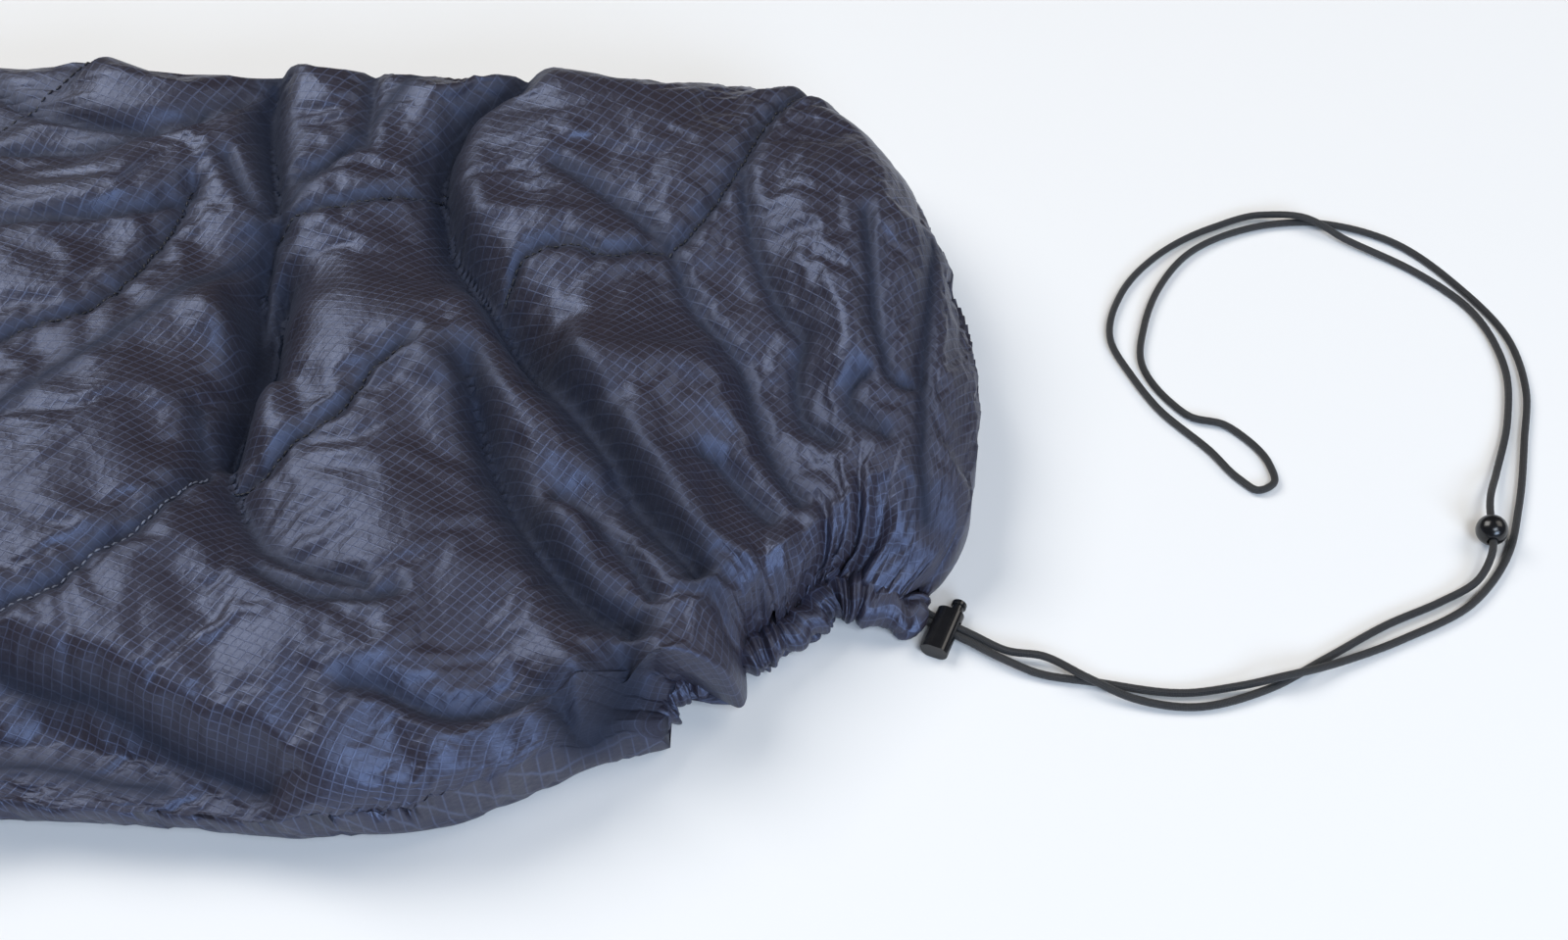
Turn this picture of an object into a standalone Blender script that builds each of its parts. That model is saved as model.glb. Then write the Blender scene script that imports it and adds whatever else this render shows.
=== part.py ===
"""A camp quilt: a padded tube of chambers, its foot gathered by a drawcord with a cord lock and a bead.

Metres, +Z up. The quilt lies on z = 0 along X, with its foot at +X and its head at -X. The origin is
under the middle of the quilt. It is folded lengthwise, so it has an upper and a lower half that lie on
each other. The foot end is a closed tube, and further up the near side is open.

Plan positions at the foot are written from FOOT, a point on the floor beside the gathered mouth.
"""

import math

import bmesh
import bpy
from mathutils import Matrix, Vector

# The quilt's plan. A section runs across the quilt from its near edge to its far edge.
FOOT = Vector((0.922, 0.0, 0.0))
HEAD_X = -1.922  # from FOOT
SEAMS = 13  # stitch lines with a baffle wall under each
SEAM_PITCH = 0.1275  # between two stitch lines, along the near edge
FIRST_SEAM_NEAR = (-0.270, -0.160)
FIRST_SEAM_FAR = (0.016, 0.195)
HEAD_HALF_WIDTH = 0.305
SKEW_FADE = 1.2  # the stitch lines slant at the foot and run square across by the last one
FOOT_SECTIONS = (
    # near edge, far edge, height: from the gathered mouth to the last one before the first seam
    ((-0.046, -0.114), (0.026, -0.067), 0.034),
    ((-0.104, -0.151), (0.073, -0.018), 0.062),
    ((-0.155, -0.165), (0.078, 0.075), 0.080),
)
LOFT_AT_SEAM = 0.066
LOFT_FIRST = 0.082
LOFT_BETWEEN = 0.076
OPEN_FROM_SEAM = 4  # from this stitch line to the head the near side is open
SLIT_HALF = 0.002

# The layers, counted outwards from the plane where the two halves meet.
LINING_IN = 0.0015
LINING_OUT = 0.0023
SHELL = 0.0008
LAYER_GAP = 0.001
WALL_HALF = 0.0006
WALL_GAP = 0.0012

# The cord lock. Its own frame has +Z along the plunger towards the knob and +X square across it.
LOCK_PLACE = Vector((0.0598, -0.0815, 0.0036))  # middle of the barrel, from FOOT
LOCK_HEADING = math.radians(-22.0)
CORD_HEADING = math.radians(-31.0)  # the cords cross the lock at a slight slant
BARREL_LENGTH = 0.019
BARREL_R = 0.0035
LOBE_OFFSET = 0.0034
BORE_R = 0.0027
BORE_FLOOR = 0.001
CORD_R = 0.0015
STRAND_PITCH = 0.0034
SLOT_MIDDLE = 0.0028
SLOT_LENGTH = 0.0071
SLOT_HEIGHT = 0.0036
PRESS_TRAVEL = 0.0028
PLUNGER_R = 0.0024
PLUNGER_LOW = -0.004
PLUNGER_SLOT_LENGTH = SLOT_LENGTH + PRESS_TRAVEL
KNOB_UNDER = 0.0126
KNOB_TOP = 0.0148
KNOB_R = 0.0029
SPRING_R = 0.0017
SPRING_WIRE_R = 0.00022
SPRING_TURNS = 4
SPRING_LOW = -0.0079
SPRING_HIGH = -0.0045

# The hem channel and the bead.
CHANNEL_R = 0.0045
CHANNEL_WALL = 0.0012
UPPER_TIP = (0.0470, -0.0688, 0.0065)  # where the cords leave the channel, from FOOT
LOWER_TIP = (0.0440, -0.0762, 0.0052)
TIP_HEADING = math.radians(-10.0)
TIP_STRAIGHT = 0.005
END_GAP = 0.0003
BEAD_PLACE = Vector((0.2695, -0.0350, 0.0062))  # from FOOT
BEAD_R = 0.006
BEAD_BORE_R = 0.00195
BEAD_HEADING = math.radians(80.0)
STRAND_Z = 0.0036  # in the lock
REST_Z = 0.0016  # on the floor
OVER_Z = 0.0053  # over the other strand
CORD_POINTS = 80
BEND_WEIGHT = 0.1  # in metres: how much closer a cord's points lie where it bends
RISE_WEIGHT = 3.0  # and where it rises

COLLECTION = "camp_quilt"


def clear_scene():
    for obj in list(bpy.data.objects):
        bpy.data.objects.remove(obj, do_unlink=True)


def new_collection(name):
    made = bpy.data.collections.new(name)
    bpy.context.scene.collection.children.link(made)
    return made


def finish_of(name, colour, roughness, metallic=0.0):
    material = bpy.data.materials.new(name)
    material.use_nodes = True
    shader = material.node_tree.nodes["Principled BSDF"]
    shader.inputs["Base Color"].default_value = (*colour, 1.0)
    shader.inputs["Roughness"].default_value = roughness
    shader.inputs["Metallic"].default_value = metallic
    return material


def add_object(name, data, material, collection):
    obj = bpy.data.objects.new(name, data)
    data.materials.append(material)
    collection.objects.link(obj)
    return obj


# Sections of the quilt.


def seam_section(number):
    """The section under one stitch line, counted from the foot."""
    share = number / (SEAMS - 1)
    near_x = FIRST_SEAM_NEAR[0] - SEAM_PITCH * number
    skew = (FIRST_SEAM_FAR[0] - FIRST_SEAM_NEAR[0]) * (1 - share) ** SKEW_FADE
    near_y = FIRST_SEAM_NEAR[1] + (-HEAD_HALF_WIDTH - FIRST_SEAM_NEAR[1]) * share
    far_y = FIRST_SEAM_FAR[1] + (HEAD_HALF_WIDTH - FIRST_SEAM_FAR[1]) * share
    return (near_x, near_y), (near_x + skew, far_y), LOFT_AT_SEAM


def head_section():
    return (HEAD_X, -HEAD_HALF_WIDTH), (HEAD_X, HEAD_HALF_WIDTH), LOFT_AT_SEAM


def all_seams():
    """The mouth, every stitch line and the head: the sections between which the chambers lie."""
    return [FOOT_SECTIONS[0]] + [seam_section(n) for n in range(SEAMS)] + [head_section()]


def between(first, last, number):
    """The fuller sections inside chamber number, counted from the foot."""
    if number == 0:
        return list(FOOT_SECTIONS[1:])
    loft = LOFT_FIRST if number == 1 else LOFT_BETWEEN
    near, far = (tuple(Vector(a).lerp(Vector(b), 0.5)) for a, b in zip(first[:2], last[:2]))
    return [(near, far, loft)]


def length_between(a, b):
    return min(math.dist(a[0], b[0]), math.dist(a[1], b[1]))


def ring(section, inset=0.0, middle_offset=None):
    """Points around a section, inset from the quilt's outside, or a fixed offset from its middle plane.

    They start just above the near edge's slit and run over the top to the far edge and back below.
    """
    near, far, height = section
    near, far = Vector((*near, 0)), Vector((*far, 0))
    half = height / 2
    radius = half - inset if middle_offset is None else middle_offset
    across = (far - near).normalized()
    up = Vector((0, 0, 1))
    near_middle = FOOT + near + across * half + up * half
    far_middle = FOOT + far - across * half + up * half
    slit = math.asin(SLIT_HALF / half)
    near_angles = (math.pi - slit, math.pi * 0.75, math.pi / 2)
    far_angles = (math.pi / 2, math.pi / 4, 0, -math.pi / 4, -math.pi / 2)
    points = [near_middle + (across * math.cos(a) + up * math.sin(a)) * radius for a in near_angles]
    points += [far_middle + (across * math.cos(a) + up * math.sin(a)) * radius for a in far_angles]
    points += [near_middle + (across * math.cos(a) - up * math.sin(a)) * radius for a in reversed(near_angles)]
    return points


def ring_between(ring_here, ring_next, gap):
    """The ring that lies the gap further on from one ring towards the next."""
    share = gap / min((a - b).length for a, b in zip(ring_here, ring_next))
    return [a.lerp(b, share) for a, b in zip(ring_here, ring_next)]


def add_layer(name, outer, inner, open_after, material, collection):
    """A closed solid between two surfaces, each given as its rings from the foot towards the head.

    Past the ring with the index open_after, the strip at the slit is left out, so that the near side is
    open there. Every layer splits its quads along the same diagonal, so that one layer follows the next.
    """
    mesh = bmesh.new()
    skins = [[[mesh.verts.new(p) for p in points] for points in rings] for rings in (outer, inner)]
    around = len(outer[0])
    edges = {}
    for row in range(len(outer) - 1):
        for column in range(around):
            following = (column + 1) % around
            if following == 0 and row >= open_after:
                continue
            loop = [(row, column), (row + 1, column), (row + 1, following), (row, following)]
            for corners in (loop[:3], loop[2:] + loop[:1]):
                mesh.faces.new([skins[0][r][c] for r, c in reversed(corners)])
                mesh.faces.new([skins[1][r][c] for r, c in corners])
            for start, end in zip(loop, loop[1:] + loop[:1]):
                edges[start, end] = True
    for start, end in edges:
        if (end, start) not in edges:
            rim = [skins[0][start[0]][start[1]], skins[0][end[0]][end[1]]]
            rim += [skins[1][end[0]][end[1]], skins[1][start[0]][start[1]]]
            mesh.faces.new(rim)
    bmesh.ops.recalc_face_normals(mesh, faces=mesh.faces)
    data = bpy.data.meshes.new(name)
    mesh.to_mesh(data)
    mesh.free()
    return add_object(name, data, material, collection)


def add_fabrics(shell_finish, lining_finish, collection):
    seams = all_seams()
    sections = []
    for number, (first, last) in enumerate(zip(seams, seams[1:])):
        sections.append(first)
        if number == OPEN_FROM_SEAM:
            open_row = len(sections) - 1
        sections += between(first, last, number)
    sections.append(seams[-1])
    outer = [ring(s) for s in sections]
    inner = [ring(s, inset=SHELL) for s in sections]
    add_layer("outer_shell", outer, inner, open_row, shell_finish, collection)
    outer = [ring(s, middle_offset=LINING_OUT) for s in sections]
    inner = [ring(s, middle_offset=LINING_IN) for s in sections]
    add_layer("lining", outer, inner, open_row, lining_finish, collection)


def filling_rings(sections):
    """The rings of the space between shell and lining: its outer surface and its inner surface."""
    outer = [ring(s, inset=SHELL + LAYER_GAP) for s in sections]
    inner = [ring(s, middle_offset=LINING_OUT + LAYER_GAP) for s in sections]
    return outer, inner


def add_insulation(finish, collection):
    """One padded ring for each chamber, open at the slit past the footbox."""
    seams = all_seams()
    gap = WALL_HALF + WALL_GAP
    for number, (first, last) in enumerate(zip(seams, seams[1:])):
        middles = between(first, last, number)
        skins = []
        for rings in filling_rings([first, *middles, last]):
            start = ring_between(rings[0], rings[1], gap)
            end = ring_between(rings[-1], rings[-2], gap)
            skins.append([start, *rings[1:-1], end])
        open_after = 0 if number >= OPEN_FROM_SEAM else len(middles) + 1
        add_layer(f"insulation_{number + 1:02d}", *skins, open_after, finish, collection)


def add_baffle_walls(finish, collection):
    """The strips that stand between shell and lining under each stitch line."""
    seams = all_seams()
    for number in range(SEAMS):
        before = between(seams[number], seams[number + 1], number)[-1]
        after = between(seams[number + 1], seams[number + 2], number + 1)[0]
        skins = []
        for rings in filling_rings([before, seams[number + 1], after]):
            start = ring_between(rings[1], rings[0], WALL_HALF)
            end = ring_between(rings[1], rings[2], WALL_HALF)
            skins.append([start, end])
        open_after = 0 if number + 1 >= OPEN_FROM_SEAM else 1
        add_layer(f"baffle_wall_{number + 1:02d}", *skins, open_after, finish, collection)


# Cords and tubes.


def curve_through(route, steps=24):
    """Close points on one smooth curve through the route, however unevenly the route is spaced.

    It never rises above the points of the route or sinks below them.
    """
    route = [Vector(p) for p in route]
    spans = [(b - a).length for a, b in zip(route, route[1:])]
    slopes = [(b - a) / span for a, b, span in zip(route, route[1:], spans)]
    tangents = [slopes[0]]
    for before, after, slope_in, slope_out in zip(spans, spans[1:], slopes, slopes[1:]):
        tangent = (slope_in * after + slope_out * before) / (before + after)
        rise = slope_in.z * slope_out.z
        tangent.z = 2 * rise / (slope_in.z + slope_out.z) if rise > 0 else 0.0
        tangents.append(tangent)
    tangents.append(slopes[-1])
    fine = []
    for index, span in enumerate(spans):
        for step in range(steps):
            t = step / steps
            point = route[index] * (2 * t**3 - 3 * t**2 + 1) + route[index + 1] * (3 * t**2 - 2 * t**3)
            point += tangents[index] * span * (t**3 - 2 * t**2 + t)
            point += tangents[index + 1] * span * (t**3 - t**2)
            fine.append(point)
    fine.append(route[-1])
    return fine


def smooth_points(route, count, steps=24):
    """count points on a smooth curve through the route, closer together where it bends or rises.

    The run between the first two points of the route is kept straight, and so is the last one.
    """
    fine = curve_through(route, steps)
    middle = fine[steps : len(fine) - steps]
    steep = [Vector((p.x, p.y, p.z * RISE_WEIGHT)) for p in middle]
    along = [0.0]
    for a, b, c in zip(steep, steep[1:], steep[2:] + [steep[-1] * 2 - steep[-2]]):
        run = (b - a).length
        turn = (b - a).angle(c - b, 0.0)
        along.append(along[-1] + math.sqrt(run * (run + turn * BEND_WEIGHT)))
    points = [fine[0]]
    place = 0
    for index in range(count - 2):
        target = along[-1] * index / (count - 3)
        while place < len(along) - 2 and along[place + 1] < target:
            place += 1
        share = (target - along[place]) / (along[place + 1] - along[place])
        points.append(middle[place].lerp(middle[place + 1], min(share, 1.0)))
    return points + [fine[-1]]


def add_tube(name, points, radius, material, collection, resolution=2, caps=True):
    curve = bpy.data.curves.new(name, "CURVE")
    curve.dimensions = "3D"
    curve.bevel_depth = radius
    curve.bevel_resolution = resolution
    curve.use_fill_caps = caps
    spline = curve.splines.new("POLY")
    spline.points.add(len(points) - 1)
    for spot, point in zip(spline.points, points):
        spot.co = (*point, 1.0)
    return add_object(name, curve, material, collection)


def lock_matrix():
    """Puts the cord lock's own frame into the world: +X square across it, +Z towards the knob."""
    across = Vector((math.cos(LOCK_HEADING), math.sin(LOCK_HEADING), 0))
    knob = Vector((-math.sin(LOCK_HEADING), math.cos(LOCK_HEADING), 0))
    up = knob.cross(across)
    turn = Matrix((across, up, knob)).transposed().to_4x4()
    return Matrix.Translation(FOOT + LOCK_PLACE) @ turn


def strand_point(along, side, height):
    """A point on a strand near the lock. side is +1 for the strand by the knob, -1 for the other."""
    middle = lock_matrix() @ Vector((0, 0, SLOT_MIDDLE))
    cords = Vector((math.cos(CORD_HEADING), math.sin(CORD_HEADING), 0))
    sideways = Vector((-math.sin(CORD_HEADING), math.cos(CORD_HEADING), 0))
    point = middle + cords * along + sideways * side * STRAND_PITCH / 2
    return Vector((point.x, point.y, height))


def foot_point(x, y, z):
    return FOOT + Vector((x, y, z))


def past_tip(tip, along):
    """A point straight on from one of the channel's two ends, or back inside it."""
    heading = Vector((math.cos(TIP_HEADING), math.sin(TIP_HEADING), 0))
    return foot_point(*tip) + heading * along


def channel_route():
    """From the mouth's right corner over the upper lip, round the left corner and back below."""
    upper = ((0.0340, -0.0706, 0.0130), (0.0240, -0.0768, 0.0195), (0.0100, -0.0855, 0.0250))
    left = ((-0.0100, -0.0978, 0.0275), (-0.0300, -0.1100, 0.0245), (-0.0425, -0.1192, 0.0165))
    turn = ((-0.0430, -0.1265, 0.0085), (-0.0335, -0.1265, 0.0055), (-0.0150, -0.1150, 0.0052))
    lower = ((0.0060, -0.1020, 0.0052), (0.0240, -0.0895, 0.0052), (0.0330, -0.0810, 0.0052))
    start = [past_tip(UPPER_TIP, along) for along in (0.0, -TIP_STRAIGHT)]
    end = [past_tip(LOWER_TIP, along) for along in (-TIP_STRAIGHT, 0.0)]
    return start + [foot_point(*p) for p in upper + left + turn + lower] + end


def add_hem(hem_finish, cord_finish, collection):
    points = smooth_points(channel_route(), 30)
    hem = add_tube("foot_hem_channel", points, CHANNEL_R, hem_finish, collection, caps=False)
    wall = hem.modifiers.new("Wall", "SOLIDIFY")
    wall.thickness = CHANNEL_WALL
    wall.offset = -1
    add_tube("drawcord_in_hem", points, CORD_R, cord_finish, collection)


def bead_point(along, height):
    heading = Vector((math.cos(BEAD_HEADING), math.sin(BEAD_HEADING), 0))
    point = FOOT + BEAD_PLACE + heading * along
    return Vector((point.x, point.y, height))


def lock_run(tip, side):
    """A strand's run from the hem through the lock and straight on for as far as the lock slides."""
    run = [past_tip(tip, END_GAP), past_tip(tip, END_GAP + 0.002)]
    run += [strand_point(along, side, STRAND_Z) for along in (-0.0095, -0.0030, 0.0090)]
    return run + [strand_point(0.0225, side * 1.15, 0.0034)]


def bead_run():
    run = [bead_point(along, BEAD_PLACE.z) for along in (-0.0095, 0.0020, 0.0145)]
    return [tuple(point - FOOT) for point in run]


def drawcord_route():
    """From the hem through the lock, round the free loop and back. The strand by the knob comes first.

    Where the strands cross, one of them rises over the other in a long low hump. The bead is on the
    first strand, and the loop turns back in a bight.
    """
    out_bottom = (
        (0.0950, -0.0915, 0.0034),
        (0.1090, -0.1018, OVER_Z),
        (0.1260, -0.1095, 0.0028),
        (0.1480, -0.1122, REST_Z),
        (0.1740, -0.1048, REST_Z),
        (0.1980, -0.0910, REST_Z),
        (0.2230, -0.0760, REST_Z),
        (0.2450, -0.0655, REST_Z),
        (0.2610, -0.0560, 0.0036),
    )
    out_right = (
        (0.2790, -0.0040, 0.0030),
        (0.2900, 0.0240, REST_Z),
        (0.2955, 0.0540, REST_Z),
        (0.2890, 0.0855, REST_Z),
        (0.2700, 0.1090, REST_Z),
        (0.2440, 0.1275, 0.0026),
        (0.2270, 0.1390, OVER_Z),
        (0.2090, 0.1438, 0.0024),
        (0.1860, 0.1362, REST_Z),
        (0.1600, 0.1185, REST_Z),
        (0.1430, 0.0965, REST_Z),
        (0.1355, 0.0690, REST_Z),
        (0.1420, 0.0490, REST_Z),
        (0.1505, 0.0315, REST_Z),
        (0.1690, 0.0082, REST_Z),
    )
    bight = (
        (0.1785, -0.0062, REST_Z),
        (0.1848, -0.0116, REST_Z),
        (0.1915, -0.0080, REST_Z),
        (0.1912, 0.0015, REST_Z),
    )
    back_left = (
        (0.1828, 0.0162, REST_Z),
        (0.1765, 0.0222, REST_Z),
        (0.1630, 0.0268, REST_Z),
        (0.1565, 0.0340, REST_Z),
        (0.1470, 0.0550, REST_Z),
        (0.1505, 0.0775, REST_Z),
        (0.1600, 0.1010, REST_Z),
        (0.1745, 0.1205, REST_Z),
        (0.1980, 0.1345, REST_Z),
        (0.2300, 0.1398, REST_Z),
    )
    back_right = (
        (0.2620, 0.1286, REST_Z),
        (0.2870, 0.0990, REST_Z),
        (0.3005, 0.0700, REST_Z),
        (0.3015, 0.0420, REST_Z),
        (0.2945, 0.0140, REST_Z),
        (0.2845, -0.0200, REST_Z),
        (0.2750, -0.0435, REST_Z),
        (0.2575, -0.0655, REST_Z),
        (0.2270, -0.0828, REST_Z),
        (0.2030, -0.0932, 0.0026),
        (0.1818, -0.1010, OVER_Z),
        (0.1640, -0.1040, 0.0028),
        (0.1440, -0.1062, REST_Z),
        (0.1110, -0.1012, REST_Z),
        (0.0925, -0.0980, 0.0020),
    )
    loop = out_bottom + tuple(bead_run()) + out_right + bight + back_left + back_right
    return lock_run(UPPER_TIP, 1) + [foot_point(*p) for p in loop] + lock_run(LOWER_TIP, -1)[::-1]


def add_drawcord(finish, collection):
    points = smooth_points(drawcord_route(), CORD_POINTS)
    add_tube("drawcord", points, CORD_R, finish, collection)


# The cord lock and the bead.


def cylinder(name, radius, low, high, collection, sides=24, x=0.0):
    mesh = bmesh.new()
    depth = high - low
    place = Matrix.Translation((x, 0, (high + low) / 2))
    bmesh.ops.create_cone(
        mesh, cap_ends=True, segments=sides, radius1=radius, radius2=radius, depth=depth, matrix=place
    )
    data = bpy.data.meshes.new(name)
    mesh.to_mesh(data)
    mesh.free()
    obj = bpy.data.objects.new(name, data)
    collection.objects.link(obj)
    return obj


def block(name, size, centre, collection):
    mesh = bmesh.new()
    bmesh.ops.create_cube(mesh, size=1.0, matrix=Matrix.Translation(centre) @ Matrix.Diagonal((*size, 1)))
    data = bpy.data.meshes.new(name)
    mesh.to_mesh(data)
    mesh.free()
    obj = bpy.data.objects.new(name, data)
    collection.objects.link(obj)
    return obj


def hide_cutter(obj, parent):
    obj.hide_render = True
    obj.display_type = "WIRE"
    obj.parent = parent


def cut(obj, cutter, operation="DIFFERENCE"):
    boolean = obj.modifiers.new(cutter.name, "BOOLEAN")
    boolean.operation = operation
    boolean.solver = "EXACT"
    boolean.object = cutter


def soften(obj, width, segments=2):
    bevel = obj.modifiers.new("Edges", "BEVEL")
    bevel.width = width
    bevel.segments = segments
    bevel.limit_method = "ANGLE"
    bevel.angle_limit = math.radians(40)


def rounded_slot(name, low, high, height, reach, collection):
    """A cutter for the cord slot, from low to high along the plunger, slanted as the cords run."""
    size = (reach, height, high - low)
    cutter = block(name, size, (0, 0, 0), collection)
    cutter.location.z = (high + low) / 2
    cutter.rotation_euler.y = LOCK_HEADING - CORD_HEADING
    bevel = cutter.modifiers.new("Ends", "BEVEL")
    bevel.width = height * 0.3
    bevel.segments = 2
    bevel.limit_method = "ANGLE"
    return cutter


def add_cord_lock(plastic, steel, collection, cutters):
    place = bpy.data.objects.new("cord_lock_place", None)
    collection.objects.link(place)
    place.matrix_world = lock_matrix()
    half = BARREL_LENGTH / 2

    barrel = cylinder("cord_lock_barrel", BARREL_R, -half, half, collection)
    barrel.data.materials.append(plastic)
    barrel.parent = place
    lobe = cylinder("lobe", BARREL_R, -half, half, cutters, x=-LOBE_OFFSET)
    web_size = (LOBE_OFFSET, BARREL_R * 2 * 0.995, BARREL_LENGTH)
    web = block("web", web_size, (-LOBE_OFFSET / 2, 0, 0), cutters)
    bore = cylinder("plunger_bore", BORE_R, -half + BORE_FLOOR, half + 0.002, cutters)
    low, high = SLOT_MIDDLE - SLOT_LENGTH / 2, SLOT_MIDDLE + SLOT_LENGTH / 2
    slot = rounded_slot("barrel_slot", low, high, SLOT_HEIGHT, 0.03, cutters)
    for helper in (lobe, web, bore, slot):
        hide_cutter(helper, place)
    cut(barrel, lobe, "UNION")
    cut(barrel, web, "UNION")
    soften(barrel, 0.0006)
    cut(barrel, bore)
    cut(barrel, slot)

    slide = bpy.data.objects.new("plunger_place", None)
    collection.objects.link(slide)
    slide.parent = place
    plunger = cylinder("cord_lock_plunger", PLUNGER_R, PLUNGER_LOW, KNOB_TOP - 0.0002, collection)
    plunger.data.materials.append(plastic)
    plunger.parent = slide
    knob = cylinder("knob", KNOB_R, KNOB_UNDER, KNOB_TOP, cutters)
    soften(knob, 0.0005)
    top = low + PLUNGER_SLOT_LENGTH
    window = rounded_slot("plunger_slot", low, top, SLOT_HEIGHT, 0.012, cutters)
    for helper in (knob, window):
        hide_cutter(helper, slide)
    cut(plunger, knob, "UNION")
    cut(plunger, window)

    coil = []
    steps = 10
    total = SPRING_TURNS * steps
    for index in range(total + 1):
        angle = 2 * math.pi * index / steps
        height = SPRING_LOW + (SPRING_HIGH - SPRING_LOW) * index / total
        coil.append(Vector((SPRING_R * math.cos(angle), SPRING_R * math.sin(angle), height)))
    spring = add_tube("cord_lock_spring", coil, SPRING_WIRE_R, steel, collection, resolution=1)
    spring.parent = place


def add_bead(plastic, collection, cutters):
    place = bpy.data.objects.new("bead_place", None)
    collection.objects.link(place)
    place.location = FOOT + BEAD_PLACE
    place.rotation_euler = (0, math.pi / 2, BEAD_HEADING)
    mesh = bmesh.new()
    bmesh.ops.create_uvsphere(mesh, u_segments=24, v_segments=14, radius=BEAD_R)
    data = bpy.data.meshes.new("ball_bead")
    mesh.to_mesh(data)
    mesh.free()
    bead = add_object("ball_bead", data, plastic, collection)
    bead.parent = place
    bore = cylinder("bead_bore", BEAD_BORE_R, -0.01, 0.01, cutters, sides=16)
    hide_cutter(bore, place)
    cut(bead, bore)


def shade(collection):
    for obj in collection.objects:
        if obj.type == "MESH":
            obj.data.shade_smooth()
            obj.data.set_sharp_from_angle(angle=math.radians(40))


def main():
    clear_scene()
    parts = new_collection(COLLECTION)
    cutters = new_collection("cutters")
    shell = finish_of("ripstop_shell", (0.055, 0.06, 0.10), 0.42)
    lining = finish_of("lining_taffeta", (0.05, 0.055, 0.085), 0.5)
    fill = finish_of("insulation_fill", (0.82, 0.81, 0.78), 0.9)
    mesh = finish_of("baffle_mesh", (0.05, 0.05, 0.06), 0.8)
    cord = finish_of("braided_cord", (0.02, 0.02, 0.024), 0.6)
    plastic = finish_of("black_plastic", (0.012, 0.012, 0.014), 0.25)
    steel = finish_of("spring_steel", (0.6, 0.6, 0.6), 0.3, metallic=1.0)
    add_fabrics(shell, lining, parts)
    add_insulation(fill, parts)
    add_baffle_walls(mesh, parts)
    add_hem(shell, cord, parts)
    add_drawcord(cord, parts)
    add_cord_lock(plastic, steel, parts, cutters)
    add_bead(plastic, parts, cutters)
    shade(parts)


main()
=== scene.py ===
"""A camp quilt on a pale floor: a padded ripstop tube gathered at the foot by a drawcord."""

import math

import bpy
import numpy as np
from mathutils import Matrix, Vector
from mathutils.bvhtree import BVHTree


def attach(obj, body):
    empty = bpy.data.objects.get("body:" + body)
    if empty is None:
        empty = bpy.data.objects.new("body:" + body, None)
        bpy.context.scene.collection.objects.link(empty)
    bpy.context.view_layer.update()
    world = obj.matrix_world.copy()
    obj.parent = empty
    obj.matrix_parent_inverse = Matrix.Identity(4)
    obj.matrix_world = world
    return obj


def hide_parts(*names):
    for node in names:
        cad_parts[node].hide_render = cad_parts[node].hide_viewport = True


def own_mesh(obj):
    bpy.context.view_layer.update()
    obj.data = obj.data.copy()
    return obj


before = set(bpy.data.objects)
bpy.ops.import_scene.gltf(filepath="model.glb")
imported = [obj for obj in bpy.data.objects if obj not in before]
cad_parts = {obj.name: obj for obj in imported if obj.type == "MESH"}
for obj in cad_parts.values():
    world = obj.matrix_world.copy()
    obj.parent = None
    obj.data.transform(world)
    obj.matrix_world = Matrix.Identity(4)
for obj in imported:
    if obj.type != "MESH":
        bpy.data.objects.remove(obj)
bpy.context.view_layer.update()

# FOOT is a point on the floor beside the gathered mouth. Plan positions are written from it.
FOOT = np.array((0.922, 0.0, 0.0))
rng = np.random.default_rng(7)

# ------------------------------------------------------------------ camera, floor, light


def look_at(obj, place, target):
    obj.location = place
    obj.rotation_euler = (Vector(target) - Vector(place)).to_track_quat("-Z", "Y").to_euler()


def link(obj):
    bpy.context.scene.collection.objects.link(obj)
    return obj


camera = link(bpy.data.objects.new("camera", bpy.data.cameras.new("camera")))
camera.data.lens = 47.2
camera.data.sensor_width = 36.0
camera.data.clip_start = 0.01
look_at(camera, FOOT + (0.0, -0.52066, 0.6205), FOOT)
bpy.context.scene.camera = camera


def area_light(name, place, target, size, power, colour, size_y=None):
    data = bpy.data.lights.new(name, "AREA")
    data.shape = "RECTANGLE"
    data.size = size
    data.size_y = size_y or size
    data.energy = power
    data.color = colour
    look_at(link(bpy.data.objects.new(name, data)), FOOT + place, FOOT + target)


area_light("key", (-2.8, 1.8, 3.6), (0.0, 0.0, 0.0), 2.8, 158.0, (1.0, 0.98, 0.95))
area_light("front", (0.85, -2.35, 3.5), (0.0, 0.0, 0.0), 1.9, 74.0, (0.78, 0.88, 1.0), 1.2)
area_light("window", (1.5, -3.4, 1.8), (0.0, -0.05, 0.0), 2.1, 98.0, (0.60, 0.76, 1.0), 1.2)
area_light("fill", (3.1, 1.0, 3.6), (0.05, 0.0, 0.0), 2.8, 63.0, (1.0, 0.95, 0.88))

bpy.context.scene.view_settings.view_transform = "Standard"
world = bpy.data.worlds.new("studio")
bpy.context.scene.world = world
world.use_nodes = True
world.node_tree.nodes["Background"].inputs["Color"].default_value = (1.0, 0.99, 0.97, 1.0)
world.node_tree.nodes["Background"].inputs["Strength"].default_value = 0.05

# ------------------------------------------------------------------ materials


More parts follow.
